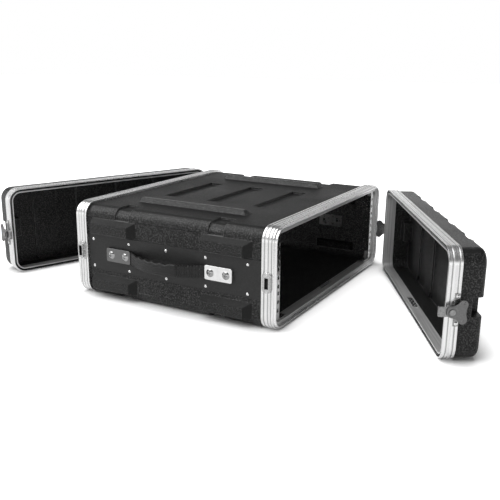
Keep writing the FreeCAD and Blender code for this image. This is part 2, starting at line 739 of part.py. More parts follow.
def keeper(end, side):
    """The catch that a latch's hook drops into: a plate with a raised, slotted block."""
    body = new_body(f"keeper_{end}_{side}")
    plate = new_sketch(body, "plate_sketch", "YZ_Plane", "Size.frame_width / 2")
    round_rectangle(plate, "-Size.keeper_far", "-Size.keeper_near",
                    "Size.mid_level - Size.keeper_height / 2",
                    "Size.mid_level + Size.keeper_height / 2", "Size.keeper_corner")
    for i in (-1, 1):
        circle(plate, "-Size.keeper_rivet_reach", f"Size.mid_level + {i} * Size.keeper_rivet_span",
               "Size.rivet_shank")
    pad(body, plate, "plate", "Size.keeper_plate")
    block = new_sketch(body, "block_sketch", "YZ_Plane", "Size.frame_width / 2 + Size.keeper_plate")
    rectangle(block, "-Size.block_far", "-Size.block_near",
              "Size.mid_level - Size.block_height / 2", "Size.mid_level + Size.block_height / 2")
    pad(body, block, "block", "Size.block_rise")
    slot = new_sketch(body, "slot_sketch", "YZ_Plane",
                      "Size.frame_width / 2 + Size.keeper_plate + Size.block_rise")
    rectangle(slot, "-Size.block_slot_far", "-Size.block_slot_near",
              "Size.mid_level - Size.block_slot_height / 2",
              "Size.mid_level + Size.block_slot_height / 2")
    pocket(body, slot, "slot", "Size.block_slot_depth")
    body.Placement = on_case(end, side)


def rack_rail(end, side):
    """An angle with one row of square-pitch rack holes down its face and a foot at each end."""
    body = new_body(f"rack_rail_{end}_{side}")
    middle = "Size.frame_height / 2"
    low, high = (f"({middle} {sign} Size.rail_height / 2)" for sign in "-+")
    face = new_sketch(body, "face_sketch", "XZ_Plane",
                      "Size.rail_face_reach - Size.rail_thickness")
    polygon(face, [
        ("Size.rail_inner", low),
        ("Size.rail_outer - Size.rail_corner", low),
        ("Size.rail_outer", f"{low} + Size.rail_corner"),
        ("Size.rail_outer", f"{high} - Size.rail_corner"),
        ("Size.rail_outer - Size.rail_corner", high),
        ("Size.rail_inner", high)])
    for unit in (-1, 0, 1):
        for step in (-1, 0, 1):
            circle(face, "Size.rack_hole_span / 2",
                   f"{middle} + {unit} * Size.rack_unit + {step} * Size.rack_hole_step",
                   "Size.rack_hole_radius")
    pad(body, face, "face", "Size.rail_thickness")
    leg = new_sketch(body, "leg_sketch", "YZ_Plane", "Size.rail_outer - Size.rail_thickness")
    rectangle(leg, "-(Size.rail_face_reach - Size.rail_thickness)",
              "-(Size.rail_face_reach - Size.rail_leg)",
              f"{low} + Size.rail_corner", f"{high} - Size.rail_corner")
    pad(body, leg, "leg", "Size.rail_thickness")
    for name, level in (("foot", low), ("head", f"{high} - Size.rail_thickness")):
        foot = new_sketch(body, f"{name}_sketch", "XY_Plane", level)
        rectangle(foot, "Size.rail_foot_inner", "Size.rail_outer - Size.rail_corner",
                  "-(Size.rail_face_reach)", "-(Size.rail_face_reach - Size.rail_foot)")
        for i in (-1, 1):
            circle(foot, f"Size.rail_screw_across + {i} * Size.rail_screw_span",
                   "-Size.rail_screw_reach", "Size.rail_screw_shank")
        pad(body, foot, name, "Size.rail_thickness")
    drawn_here = (side == "right") == (end == "front")
    turn = FreeCAD.Placement() if drawn_here else turned_over(number(middle))
    body.Placement = at_end(end) * turn


def splice(name, inset, reach, placement):
    """The small plate that joins the two ends of a frame at the middle of its bottom run."""
    body = new_body(name)
    sketch = new_sketch(body, "splice_sketch", "XY_Plane", inset)
    rectangle(sketch, "-Size.splice_length / 2", "Size.splice_length / 2",
              f"-({reach}) - Size.splice_width / 2", f"-({reach}) + Size.splice_width / 2")
    pad(body, sketch, "splice", "Size.splice_thickness")
    dimples = [(f"{i} * Size.splice_dimple_pitch / 2", f"-({reach})") for i in (-3, -1, 1, 3)]
    holes(body, "dimples", "XY_Plane", f"{inset} + Size.splice_thickness", dimples,
          "Size.splice_dimple", "Size.splice_thickness / 2")
    body.Placement = placement


# ---------------------------------------------------------------- lids
def lid_frame(end):
    """The lid's edge extrusion: an outer wall and an inner lip with the seal's groove between
    them, and two flanges behind that hold the lid's shell."""
    body = new_body(f"{end}_lid_frame")
    back = "(Size.lid_edge_reach + Size.lid_strip)"
    floor = "Size.lid_groove_floor"
    behind = f"({floor} + Size.lid_web)"
    ring(body, "outer_wall", "0", "Size.lid_wall_inset", "Size.lid_edge_reach", back)
    ring(body, "web", "Size.lid_wall_inset", "Size.lid_lip_inset", floor, behind)
    ring(body, "lip", "Size.lid_groove_inset", "Size.lid_lip_inset",
         "Size.lid_edge_reach + Size.lid_lip_set_back", floor)
    ring(body, "flange", "Size.lid_wall_inset + Size.lid_shell_wall", "Size.lid_lip_inset",
         behind, back)
    sketch = new_sketch(body, "groove_sketch", "XZ_Plane",
                        f"{back} - Size.groove_pitch + Size.groove_width")
    case_outline(sketch, "-1")
    case_outline(sketch, "Size.groove_depth")
    pocket(body, sketch, "groove", "Size.groove_width")
    ears = [("-Size.latch_ear_reach", f"Size.mid_level + {i} * Size.latch_ear_span")
            for i in (-1, 1)]
    drilled = holes(body, "ear_holes", "YZ_Plane", "Size.frame_width / 2", ears,
                    "Size.rivet_shank", "Size.lid_wall_inset")
    mirrored(body, "ear_holes_left", [drilled], "YZ_Plane")
    body.Placement = standing(end) * at_end(end)


def lid_shell(end):
    """The moulded tray, with channels down its back and a notch in each side at mid height."""
    body = new_body(f"{end}_lid_shell")
    start = "(Size.lid_groove_floor + Size.lid_web)"
    back = "(Size.lid_edge_reach + Size.lid_depth)"
    inner_back = f"({back} - Size.lid_shell_wall)"
    solid = ring(body, "block", "Size.lid_shell_inset", "", start, back)
    doc.recompute()
    rim = [f"Edge{i}" for i, edge in enumerate(solid.Shape.Edges, start=1)
           if abs(edge.BoundBox.YMin + number(back)) < 0.01
           and abs(edge.BoundBox.YMax + number(back)) < 0.01]
    rounded = body.newObject("PartDesign::Fillet", "back_round")
    rounded.Base = (solid, rim)
    rounded.setExpression("Radius", "Size.lid_back_round")
    inside = new_sketch(body, "inside_sketch", "XZ_Plane", inner_back)
    case_outline(inside, "Size.lid_shell_inset + Size.lid_shell_wall")
    pocket(body, inside, "inside", f"{inner_back} - {start}")
    half_width = "Size.lid_channel_width / 2"
    channels = [f"{i} * Size.lid_channel_pitch / 2" for i in (-3, -1, 1, 3)]
    rib_top = "Size.frame_height - Size.lid_shell_inset - Size.lid_shell_wall / 2"
    for i, middle in enumerate(channels, start=1):
        edges = (f"{middle} - {half_width} - Size.lid_shell_wall",
                 f"{middle} + {half_width} + Size.lid_shell_wall")
        round_end = new_sketch(body, f"rib_{i}_sketch", "XZ_Plane",
                               f"{inner_back} - Size.lid_channel_depth")
        round_rectangle(round_end, *edges, "Size.lid_channel_low - Size.lid_shell_wall", rib_top,
                        "Size.lid_channel_round + Size.lid_shell_wall")
        square_end = new_sketch(body, f"rib_{i}_top_sketch", "XZ_Plane",
                                f"{inner_back} - Size.lid_channel_depth")
        rectangle(square_end, *edges, "Size.mid_level", rib_top)
        rib_depth = "Size.lid_channel_depth + Size.lid_shell_wall / 2"
        pad(body, round_end, f"rib_{i}", rib_depth)
        pad(body, square_end, f"rib_{i}_top", rib_depth)
    side = "(Size.frame_width / 2 - Size.lid_shell_inset)"
    block = box(body, "PartDesign::AdditiveBox", "notch_block",
                (f"{side} - Size.lid_notch_width - Size.lid_shell_wall",
                 f"{side} - Size.lid_shell_wall / 2"),
                (f"-({back} - Size.lid_shell_wall / 2)",
                 f"-({back} - Size.lid_notch_depth - Size.lid_shell_wall)"),
                ("Size.lid_notch_low - Size.lid_shell_wall",
                 "Size.lid_notch_high + Size.lid_shell_wall"))
    mirrored(body, "notch_block_left", [block], "YZ_Plane")
    for i, middle in enumerate(channels, start=1):
        channel = new_sketch(body, f"channel_{i}_sketch", "XZ_Plane", back)
        round_rectangle(channel, f"{middle} - {half_width}", f"{middle} + {half_width}",
                        "Size.lid_channel_low", "Size.frame_height + Size.lid_channel_round",
                        "Size.lid_channel_round")
        pocket(body, channel, f"channel_{i}", "Size.lid_channel_depth")
        # where a channel runs out over the top, it reaches further in
        box(body, "PartDesign::SubtractiveBox", f"channel_{i}_over",
            (f"{middle} - {half_width}", f"{middle} + {half_width}"),
            (f"-({back} + 1)", f"-({back} - Size.lid_channel_over)"),
            ("Size.frame_height - Size.lid_shell_inset - Size.lid_channel_drop",
             "Size.frame_height + 1"))
    notch = box(body, "PartDesign::SubtractiveBox", "notch",
                (f"{side} - Size.lid_notch_width", f"{side} + 1"),
                (f"-({back} + 1)", f"-({back} - Size.lid_notch_depth)"),
                ("Size.lid_notch_low", "Size.lid_notch_high"))
    mirrored(body, "notch_left", [notch], "YZ_Plane")
    body.Placement = standing(end) * at_end(end)


def lid_seal(end):
    """The rubber seal on the floor of the lid's groove."""
    body = new_body(f"{end}_lid_seal")
    ring(body, "seal", "Size.lid_wall_inset + Size.seal_side_gap",
         "Size.lid_groove_inset - Size.seal_side_gap", "Size.seal_top", "Size.lid_groove_floor")
    body.Placement = standing(end) * at_end(end)


# ---------------------------------------------------------------- latches
def latch_plate(end, side):
    """The riveted base, with two ears and the boss that the pin stands in."""
    body = new_body(f"{end}_lid_latch_plate_{side}")
    sketch = new_sketch(body, "plate_sketch", "YZ_Plane", "Size.frame_width / 2")
    level, ear = "Size.mid_level", "Size.latch_ear_span + Size.latch_ear_radius"
    near = "-(Size.lid_edge_reach + Size.latch_plate_set_back)"
    neck = "-(Size.latch_ear_reach - Size.latch_ear_radius)"
    far = "-(Size.latch_ear_reach + Size.latch_ear_radius - 0.8)"
    nose = "Size.latch_boss_radius"
    polygon(sketch, [
        (near, f"{level} - {nose} * 0.7"),
        (near, f"{level} + {nose} * 0.7"),
        (f"{near} - 3", f"{level} + {nose} + 1"),
        (neck, f"{level} + {nose} + 2"),
        (neck, f"{level} + {ear}"),
        (far, f"{level} + {ear}"),
        (far, f"{level} - ({ear})"),
        (neck, f"{level} - ({ear})"),
        (neck, f"{level} - {nose} - 2"),
        (f"{near} - 3", f"{level} - {nose} - 1")])
    for i in (-1, 1):
        circle(sketch, "-Size.latch_ear_reach", f"{level} + {i} * Size.latch_ear_span",
               "Size.rivet_shank")
    pad(body, sketch, "plate", "Size.latch_plate_thickness")
    boss = new_sketch(body, "boss_sketch", "YZ_Plane",
                      "Size.frame_width / 2 + Size.latch_plate_thickness")
    circle(boss, "-Size.latch_pivot", level, "Size.latch_boss_radius")
    pad(body, boss, "boss", "Size.latch_boss_rise")
    top = "Size.frame_width / 2 + Size.latch_plate_thickness + Size.latch_boss_rise"
    holes(body, "pin_hole", "YZ_Plane", top, [("-Size.latch_pivot", level)], "Size.pin_radius",
          "Size.latch_plate_thickness + Size.latch_boss_rise")
    body.Placement = on_lid(end, side)


def thrown(end, side):
    """The latch whose wing lies over the case side, with its hook drawn in."""
    return (end, side) == ("front", "right")


def latch_hook(end, side):
    """The draw hook: a flat plate, slotted where the pin passes, with a lip at its tip."""
    body = new_body(f"{end}_lid_latch_hook_{side}")
    level = "Size.mid_level"
    back = "-(Size.latch_pivot + Size.hook_tail)"
    plate = new_sketch(body, "plate_sketch", "YZ_Plane", "Size.frame_width / 2 + Size.hook_lift")
    low, high = (f"{level} {sign} Size.hook_height / 2" for sign in "-+")
    polygon(plate, [
        (back, f"{low} + Size.hook_corner"), (f"{back} + Size.hook_corner", low),
        ("-Size.hook_tip_reach", low), ("-Size.hook_tip_reach", high),
        (f"{back} + Size.hook_corner", high), (back, f"{high} - Size.hook_corner")])
    clear = "(Size.pin_radius + Size.pin_clearance)"
    round_rectangle(plate, f"-Size.latch_pivot - {clear}",
                    f"-Size.latch_pivot + Size.hook_travel + {clear}",
                    f"{level} - {clear}", f"{level} + {clear}", f"{clear} - 0.05")
    pad(body, plate, "plate", "Size.hook_thickness")
    lip = new_sketch(body, "lip_sketch", "YZ_Plane",
                     "Size.frame_width / 2 + Size.hook_lift - Size.hook_lip_drop")
    rectangle(lip, "-(Size.hook_tip_reach + Size.hook_lip)", "-Size.hook_tip_reach", low, high)
    pad(body, lip, "lip", "Size.hook_lip_drop")
    drawn = V(0, -size("hook_travel") if thrown(end, side) else 0, 0)
    slide = FreeCAD.Placement(drawn, FreeCAD.Rotation())
    body.Placement = on_lid(end, side) * slide


def latch_wing(end, side):
    """The flat wing that the hand turns, with a horn at each outer corner."""
    body = new_body(f"{end}_lid_latch_wing_{side}")
    level, pivot = "Size.mid_level", "Size.latch_pivot"
    half, neck, length = "Size.wing_height / 2", "Size.wing_neck / 2", "Size.wing_length"
    upper = [
        (f"-({pivot} - {neck} - 2)", f"{neck} * 0.6"),
        (f"-({pivot} - {neck})", f"{neck} * 1.1"),
        (f"-({pivot} + {length} * 0.3)", f"{neck} * 1.35"),
        (f"-({pivot} + {length} * 0.62)", half),
        (f"-({pivot} + {length} * 0.84)", half),
        (f"-({pivot} + {length})", f"{half} * 0.62"),
        (f"-({pivot} + {length} * 0.93)", f"{half} * 0.4")]
    corners = [(across, f"{level} + {up}") for across, up in upper]
    corners += [(across, f"{level} - {up}") for across, up in reversed(upper)]
    sketch = new_sketch(body, "wing_sketch", "YZ_Plane", "Size.frame_width / 2 + Size.wing_lift")
    polygon(sketch, corners)
    circle(sketch, f"-{pivot}", level, "Size.pin_radius + Size.pin_clearance")
    pad(body, sketch, "wing", "Size.wing_thickness")
    centre = V(0, -size("latch_pivot"), size("mid_level"))
    turn = FreeCAD.Rotation(X_AXIS, 180 if thrown(end, side) else 0)
    over = FreeCAD.Placement(V(0, 0, 0), turn, centre)
    body.Placement = on_lid(end, side) * over


def latch_pin(end, side):
    """The riveted pin that the wing turns on, with its head over the wing."""
    body = new_body(f"{end}_lid_latch_pin_{side}")
    centre = ("-Size.latch_pivot", "Size.mid_level")
    over_wing = "Size.wing_lift + Size.wing_thickness + Size.pin_head_gap"
    shank = new_sketch(body, "shank_sketch", "YZ_Plane", "Size.frame_width / 2")
    circle(shank, *centre, "Size.pin_radius")
    pad(body, shank, "shank", over_wing)
    head = new_sketch(body, "head_sketch", "YZ_Plane", f"Size.frame_width / 2 + {over_wing}")
    circle(head, *centre, "Size.pin_head")
    pad(body, head, "head", "Size.pin_head_rise")
    body.Placement = on_lid(end, side)


# ---------------------------------------------------------------- groups of identical fasteners
def dome_shape(head, rise, shank, length):
    """A domed head with a shank behind it, along +X, its head seated on X = 0."""
    ball = (head ** 2 + rise ** 2) / (2 * rise)
    dome = Part.makeSphere(ball, V(rise - ball, 0, 0)).common(
        Part.makeBox(rise, 2 * head, 2 * head, V(0, -head, -head)))
    return dome.fuse(Part.makeCylinder(shank, length, V(-length, 0, 0), X_AXIS)).removeSplitter()


def screw_shape(head, rise, shank, length):
    """The same with a crossed driver recess."""
    screw = dome_shape(head, rise, shank, length)
    arm, width, depth = head * 0.95, head * 0.2, rise * 0.6
    for size_y, size_z in ((arm, width), (width, arm)):
        screw = screw.cut(Part.makeBox(
            depth + 1, size_y, size_z, V(rise - depth, -size_y / 2, -size_z / 2)))
    return screw


def group(name, shapes):
    """One node of separate identical solids."""
    feature = doc.addObject("Part::Feature", name)
    feature.Label = name
    feature.Shape = Part.makeCompound(shapes)
    NODES.append(feature)


def facing(shape, turn, point):
    copy = shape.copy()
    copy.Placement = FreeCAD.Placement(point, turn)
    return copy


OUTWARD = {1: FreeCAD.Rotation(), -1: FreeCAD.Rotation(Z_AXIS, 180)}
UPWARD = {1: FreeCAD.Rotation(Y_AXIS, -90), -1: FreeCAD.Rotation(Y_AXIS, 90)}


def on_both_sides(shape, seat, centres):
    """A fastener on both side faces, at each (Y, Z) pair of expressions."""
    return [facing(shape, OUTWARD[sign], V(sign * number(seat), number(across), number(up)))
            for sign in (1, -1) for across, up in centres]


def case_fasteners():
    wall = number(f"{PANEL_FACE} - {SIDE_FACE} + Size.shell_wall")
    rivet = dome_shape(size("rivet_radius"), size("rivet_dome"), size("rivet_shank"), wall)
    group("panel_rivets", on_both_sides(rivet, PANEL_FACE, RIVET_CENTRES))

    cap_face = f"{PANEL_FACE} + Size.cap_lift + Size.cap_thickness"
    length = number(f"{cap_face} - ({SIDE_FACE} - Size.shell_wall - Size.backing_thickness)")
    screw = screw_shape(size("screw_head"), size("screw_rise"), size("screw_shank"), length)
    group("handle_screws", on_both_sides(screw, cap_face, SCREW_CENTRES))

    rivet = dome_shape(size("keeper_rivet_head"), size("rivet_dome") * 0.6, size("rivet_shank"),
                       number("Size.keeper_plate + Size.shell_inset - 1"))
    centres = [(f"{end} * Size.keeper_rivet_reach", f"Size.mid_level + {i} * Size.keeper_rivet_span")
               for end in (-1, 1) for i in (-1, 1)]
    group("keeper_rivets",
          on_both_sides(rivet, "Size.frame_width / 2 + Size.keeper_plate", centres))

    screw = screw_shape(size("rail_screw_head"), size("rail_screw_rise"),
                        size("rail_screw_shank"),
                        number("Size.rail_thickness + Size.opening_inset - Size.shell_inset"
                               " - Size.shell_wall"))
    seat = number("Size.frame_height / 2 - Size.rail_height / 2 + Size.rail_thickness")
    middle = size("frame_height") / 2
    group("rail_screws", [
        facing(screw, UPWARD[up],
               V(number(across), number(y), middle - up * (middle - seat)))
        for up in (1, -1)
        for across, y in RAIL_SCREW_CENTRES])


def lid_rivets(end):
    """The rivets through the ears of the lid's two latch plates."""
    seat = "Size.frame_width / 2 + Size.latch_plate_thickness"
    rivet = dome_shape(size("ear_rivet_head"), size("rivet_dome"), size("rivet_shank"),
                       number("Size.latch_plate_thickness + Size.lid_wall_inset"))
    centres = [("-Size.latch_ear_reach", f"Size.mid_level + {i} * Size.latch_ear_span")
               for i in (-1, 1)]
    place = standing(end) * at_end(end)
    shapes = on_both_sides(rivet, seat, centres)
    for shape in shapes:
        shape.Placement = place * shape.Placement
    group(f"{end}_lid_latch_rivets", shapes)


SIDES = ("left", "right")
ENDS = ("front", "rear")

case_shell()
for end in ENDS:
    frame = frame_extrusion(f"{end}_frame")
    frame.Placement = at_end(end)
    splice(f"{end}_frame_splice", "Size.opening_inset",
           "Size.flange_back_reach + Size.splice_width / 2 + 1", at_end(end))
for side in SIDES:
    side_panel(side)
    handle(side)
    handle_caps(side)
    backing_plate(side)
    for end in ENDS:
        keeper(end, side)
        rack_rail(end, side)
case_fasteners()
for end in ENDS:
    lid_shell(end)
    lid_frame(end)
    lid_seal(end)
    splice(f"{end}_lid_splice", "Size.lid_lip_inset",
           "Size.lid_groove_floor + Size.lid_strip / 4", standing(end) * at_end(end))
    lid_rivets(end)
    for side in SIDES:
        latch_plate(end, side)
        latch_hook(end, side)
        latch_wing(end, side)
        latch_pin(end, side)

doc.recompute()
failed = [o.Name for o in doc.Objects if {"Invalid", "Error"} & set(o.State)]
if failed:
    raise RuntimeError(f"failed to recompute: {failed}")
os.makedirs("parts", exist_ok=True)
for node in NODES:
    if node.Shape.isNull() or not node.Shape.isValid():
        raise RuntimeError(f"{node.Label} has no valid shape")
    node.Shape.exportStep(f"parts/{node.Label}.step")
print(len(NODES), "nodes written")
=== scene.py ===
import json
import math

import bmesh
import bpy
from mathutils import Matrix, Vector


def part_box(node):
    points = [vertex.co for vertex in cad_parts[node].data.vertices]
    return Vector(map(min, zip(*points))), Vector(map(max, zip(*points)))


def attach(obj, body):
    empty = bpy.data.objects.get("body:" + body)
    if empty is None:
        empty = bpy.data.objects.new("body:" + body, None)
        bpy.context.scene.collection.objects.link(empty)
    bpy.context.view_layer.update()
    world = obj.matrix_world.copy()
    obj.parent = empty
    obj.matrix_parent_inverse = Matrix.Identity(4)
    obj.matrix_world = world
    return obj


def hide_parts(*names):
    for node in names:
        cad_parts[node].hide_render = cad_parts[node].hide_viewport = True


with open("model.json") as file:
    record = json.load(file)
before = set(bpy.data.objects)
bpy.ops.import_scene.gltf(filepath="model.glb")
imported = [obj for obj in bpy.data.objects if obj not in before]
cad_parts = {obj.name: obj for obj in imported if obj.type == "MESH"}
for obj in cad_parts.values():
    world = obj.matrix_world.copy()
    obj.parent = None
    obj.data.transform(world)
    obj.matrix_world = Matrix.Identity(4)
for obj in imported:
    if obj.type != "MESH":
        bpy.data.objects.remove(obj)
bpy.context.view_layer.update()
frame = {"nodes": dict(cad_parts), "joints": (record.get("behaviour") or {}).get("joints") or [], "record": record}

MM = 0.001
scene = bpy.context.scene

# ---------------------------------------------------------------- camera
CAMERA_PLACE = (-1.25847, -0.72971, 0.45684)
CAMERA_HEADING, CAMERA_TILT, CAMERA_ROLL = (math.radians(a) for a in (29.16, 15.32, 0.57))
CAMERA_LENS, CAMERA_SENSOR = 49.95, 36.0


def make_camera():
    """Looks along a heading measured from +X towards +Y, tilted down and rolled a little."""
    ahead = Vector((math.cos(CAMERA_HEADING) * math.cos(CAMERA_TILT),
                    math.sin(CAMERA_HEADING) * math.cos(CAMERA_TILT), -math.sin(CAMERA_TILT)))
    level = Vector((math.sin(CAMERA_HEADING), -math.cos(CAMERA_HEADING), 0))
    upward = level.cross(ahead)
    across = math.cos(CAMERA_ROLL) * level + math.sin(CAMERA_ROLL) * upward
    up = ahead.cross(across) * -1
    data = bpy.data.cameras.new("camera")
    data.lens, data.sensor_width = CAMERA_LENS, CAMERA_SENSOR
    camera = bpy.data.objects.new("camera", data)
    turn = Matrix((across, up, -ahead)).transposed().to_4x4()
    camera.matrix_world = Matrix.Translation(CAMERA_PLACE) @ turn
    scene.collection.objects.link(camera)
    scene.camera = camera


# ---------------------------------------------------------------- node materials
ROUNDEST_EDGE, FLATTEST_EDGE = 0.86, 0.995
NOISE_SPAN = (0.3, 0.7)


class Nodes:
    """Short names for building one material's node tree."""

    def __init__(self, name):
        self.material = bpy.data.materials.new(name)
        self.material.use_nodes = True
        self.tree = self.material.node_tree
        self.shader = self.tree.nodes["Principled BSDF"]

    def add(self, kind, **values):
        """A new node with its own settings."""
        node = self.tree.nodes.new(kind)
        for key, value in values.items():
            setattr(node, key, value)
        return node

    def link(self, output, socket):
        self.tree.links.new(output, socket)

    def set(self, **values):
        """Constants on the shader's own sockets."""
        for key, value in values.items():
            self.shader.inputs[key.replace("_", " ")].default_value = value

    def coords(self, scale=(1, 1, 1)):
        """The piece's own coordinates in metres, stretched."""
        source = self.add("ShaderNodeTexCoord").outputs["Object"]
        mapping = self.add("ShaderNodeMapping")
        mapping.inputs["Scale"].default_value = scale
        self.link(source, mapping.inputs["Vector"])
        return mapping.outputs["Vector"]

    def noise(self, scale, detail=2.0, rough=0.5, stretch=(1, 1, 1)):
        """A noise whose cells are about 1/scale metres across."""
        node = self.add("ShaderNodeTexNoise")
        node.inputs["Scale"].default_value = scale
        node.inputs["Detail"].default_value = detail
        node.inputs["Roughness"].default_value = rough
        self.link(self.coords(stretch), node.inputs["Vector"])
        return node.outputs["Fac"]

    def cells(self, scale):
        """Rounded cells about 1/scale metres across."""
        node = self.add("ShaderNodeTexVoronoi", feature="F1")
        node.inputs["Scale"].default_value = scale
        self.link(self.coords(), node.inputs["Vector"])
        return node.outputs["Distance"]

    def spread(self, value, low, high, start=0.0, end=1.0):
        """Maps start..end of a value to low..high, held at the ends."""
        node = self.add("ShaderNodeMapRange")
        for key, number in (("From Min", start), ("From Max", end), ("To Min", low),
                            ("To Max", high)):
            node.inputs[key].default_value = number
        self.link(value, node.inputs["Value"])
        return node.outputs["Result"]

    def combine(self, first, second, kind="ADD"):
        """Two values added, or joined by another kind of arithmetic."""
        node = self.add("ShaderNodeMath", operation=kind)
        self.link(first, node.inputs[0])
        self.link(second, node.inputs[1])
        return node.outputs[0]

    def blend(self, factor, first, second):
        """A colour between two, each a socket or a linear colour."""
        node = self.add("ShaderNodeMix", data_type="RGBA")
        self.link(factor, node.inputs["Factor"])
        for socket, colour in ((node.inputs["A"], first), (node.inputs["B"], second)):
            if isinstance(colour, bpy.types.NodeSocket):
                self.link(colour, socket)
            else:
                socket.default_value = (*colour, 1)
        return node.outputs["Result"]

    def edges(self, radius):
        """0 on flats and near 1 along the edges, where a rounded normal leaves the true one."""
        bevel = self.add("ShaderNodeBevel", samples=4)
        bevel.inputs["Radius"].default_value = radius
        normal = self.add("ShaderNodeNewGeometry").outputs["Normal"]
        dot = self.add("ShaderNodeVectorMath", operation="DOT_PRODUCT")
        self.link(bevel.outputs["Normal"], dot.inputs[0])
        self.link(normal, dot.inputs[1])
        return self.spread(dot.outputs["Value"], 1.0, 0.0, ROUNDEST_EDGE, FLATTEST_EDGE)

    def colour(self, socket):
        self.link(socket, self.shader.inputs["Base Color"])

    def roughness(self, socket):
        self.link(socket, self.shader.inputs["Roughness"])

    def bump(self, *layers):
        """Each layer is a height socket and its depth in metres."""
        last = None
        for height, depth in layers:
            node = self.add("ShaderNodeBump")
            node.inputs["Distance"].default_value = depth
            node.inputs["Strength"].default_value = 1.0
            self.link(height, node.inputs["Height"])
            if last is not None:
                self.link(last, node.inputs["Normal"])
            last = node.outputs["Normal"]
        self.link(last, self.shader.inputs["Normal"])


def grey(level):
    """A linear grey as a colour."""
    return (level, level, level)


def textured_plastic(name, dark, light, gloss_rough, edge_wear_and_highlight_tone):
    """Moulded ABS: a coarse speckled grain over a fine one, paler along the edges: partly wear in patches,
    partly a painted highlight. Dark and light are the two tones of the speckle."""
    m = Nodes(name)
    speckle = m.noise(430.0, detail=2.0, rough=0.7)
    grain = m.noise(900.0, detail=3.0)
    patches = m.noise(9.0, detail=3.0)
    edge_wear_and_highlight = m.edges(2.2 * MM)
    flecks = m.spread(speckle, 0.0, 1.0, 0.48, 0.66)
    base = m.blend(flecks, grey(dark), grey(light))
    # Edges paled towards the edge tone: partly wear in patches, partly a painted highlight along creases.
    scuff_and_highlight = m.combine(m.spread(edge_wear_and_highlight, 0.0, 0.9),
                        m.spread(patches, 0.55, 1.0, start=0.35, end=0.7), "MULTIPLY")
    m.colour(m.blend(scuff_and_highlight, base, grey(edge_wear_and_highlight_tone)))
    rough = m.combine(m.spread(patches, gloss_rough - 0.04, gloss_rough + 0.05, *NOISE_SPAN),
                      m.spread(flecks, 0.06, -0.06))
    m.roughness(rough)
    m.set(Specular_IOR_Level=0.27)
    m.bump((speckle, 0.6 * MM), (grain, 0.1 * MM))
    return m.material


def smooth_plastic(name):
    """The side panels' satin ABS, almost flat, with faint flow marks and handling scratches."""
    m = Nodes(name)
    flow = m.noise(14.0, detail=4.0, rough=0.55, stretch=(1, 0.35, 1))
    fine = m.noise(500.0, detail=2.0)
    scratches = m.noise(60.0, detail=5.0, rough=0.7, stretch=(1, 0.05, 9))
    base = m.blend(m.spread(flow, 0.0, 1.0, *NOISE_SPAN), grey(0.007), grey(0.011))
    m.colour(m.blend(m.spread(fine, 0.0, 1.0, 0.45, 0.75), base, grey(0.02)))
    m.roughness(m.combine(m.spread(flow, 0.42, 0.52, *NOISE_SPAN),
                          m.spread(scratches, 0.0, 0.08, 0.62, 0.75)))
    m.set(Specular_IOR_Level=0.4)
    m.bump((fine, 0.18 * MM), (scratches, 0.03 * MM))
    return m.material


def brushed_aluminium(name, dark, light, rough, metal=1.0):
    """Drawn extrusion: streaks and die lines along the run, a little cloud and handling marks."""
    m = Nodes(name)
    die_lines = m.noise(1.0, detail=4.0, rough=0.6, stretch=(16, 900, 16))
    streaks = m.noise(1.0, detail=3.0, rough=0.5, stretch=(5, 330, 5))
    cloud = m.noise(22.0, detail=4.0, rough=0.6)
    marks = m.noise(240.0, detail=3.0, rough=0.7, stretch=(1, 0.5, 1))
    edge_wear_and_highlight = m.edges(0.6 * MM)
    tone = m.combine(m.spread(streaks, 0.0, 0.8, 0.35, 0.65), m.spread(cloud, 0.0, 0.25, 0.35, 0.7))
    base = m.blend(tone, grey(dark), grey(light))
    m.colour(m.blend(m.spread(edge_wear_and_highlight, 0.0, 0.6), base, grey(0.93)))
    m.roughness(m.combine(m.spread(streaks, rough - 0.05, rough + 0.06, *NOISE_SPAN),
                          m.spread(marks, -0.03, 0.07)))
    m.set(Metallic=metal, Anisotropic=0.35)
    m.bump((die_lines, 0.08 * MM), (marks, 0.018 * MM))
    return m.material


def plated_zinc(name, dark, light, rough, scale):
    """Zinc plate: soft crystalline patches that differ in tone and gloss."""
    m = Nodes(name)
    patches = m.cells(scale)
    cloud = m.noise(scale * 1.7, detail=4.0, rough=0.65)
    edge_wear_and_highlight = m.edges(0.5 * MM)
    mixed = m.combine(m.spread(patches, 0.0, 0.55), m.spread(cloud, 0.0, 0.6, 0.35, 0.7))
    base = m.blend(mixed, grey(dark), grey(light))
    # Paler edges: partly wear, partly a painted highlight along rims such as the wings'.
    m.colour(m.blend(m.spread(edge_wear_and_highlight, 0.0, 0.7), base, grey(min(light * 1.35, 0.95))))
    m.roughness(m.combine(m.spread(cloud, rough - 0.08, rough + 0.08, *NOISE_SPAN),
                          m.spread(patches, -0.04, 0.05)))
    m.set(Metallic=1.0)
    m.bump((cloud, 0.06 * MM), (m.noise(1600.0, detail=2.0), 0.01 * MM))
    return m.material


def polished_metal(name, tone, rough):
    """Chrome or bright plate, with a little haze and fine hairlines."""
    m = Nodes(name)
    haze = m.noise(160.0, detail=4.0)
    hairlines = m.noise(1.0, detail=3.0, rough=0.6, stretch=(500, 120, 3200))
    m.colour(m.blend(m.spread(haze, 0.0, 1.0, *NOISE_SPAN), grey(tone * 0.9), grey(tone)))
    m.roughness(m.combine(m.spread(haze, rough, rough + 0.07, 0.35, 0.7),
                          m.spread(hairlines, 0.0, 0.03)))
    m.set(Metallic=1.0)
    m.bump((hairlines, 0.006 * MM))
    return m.material


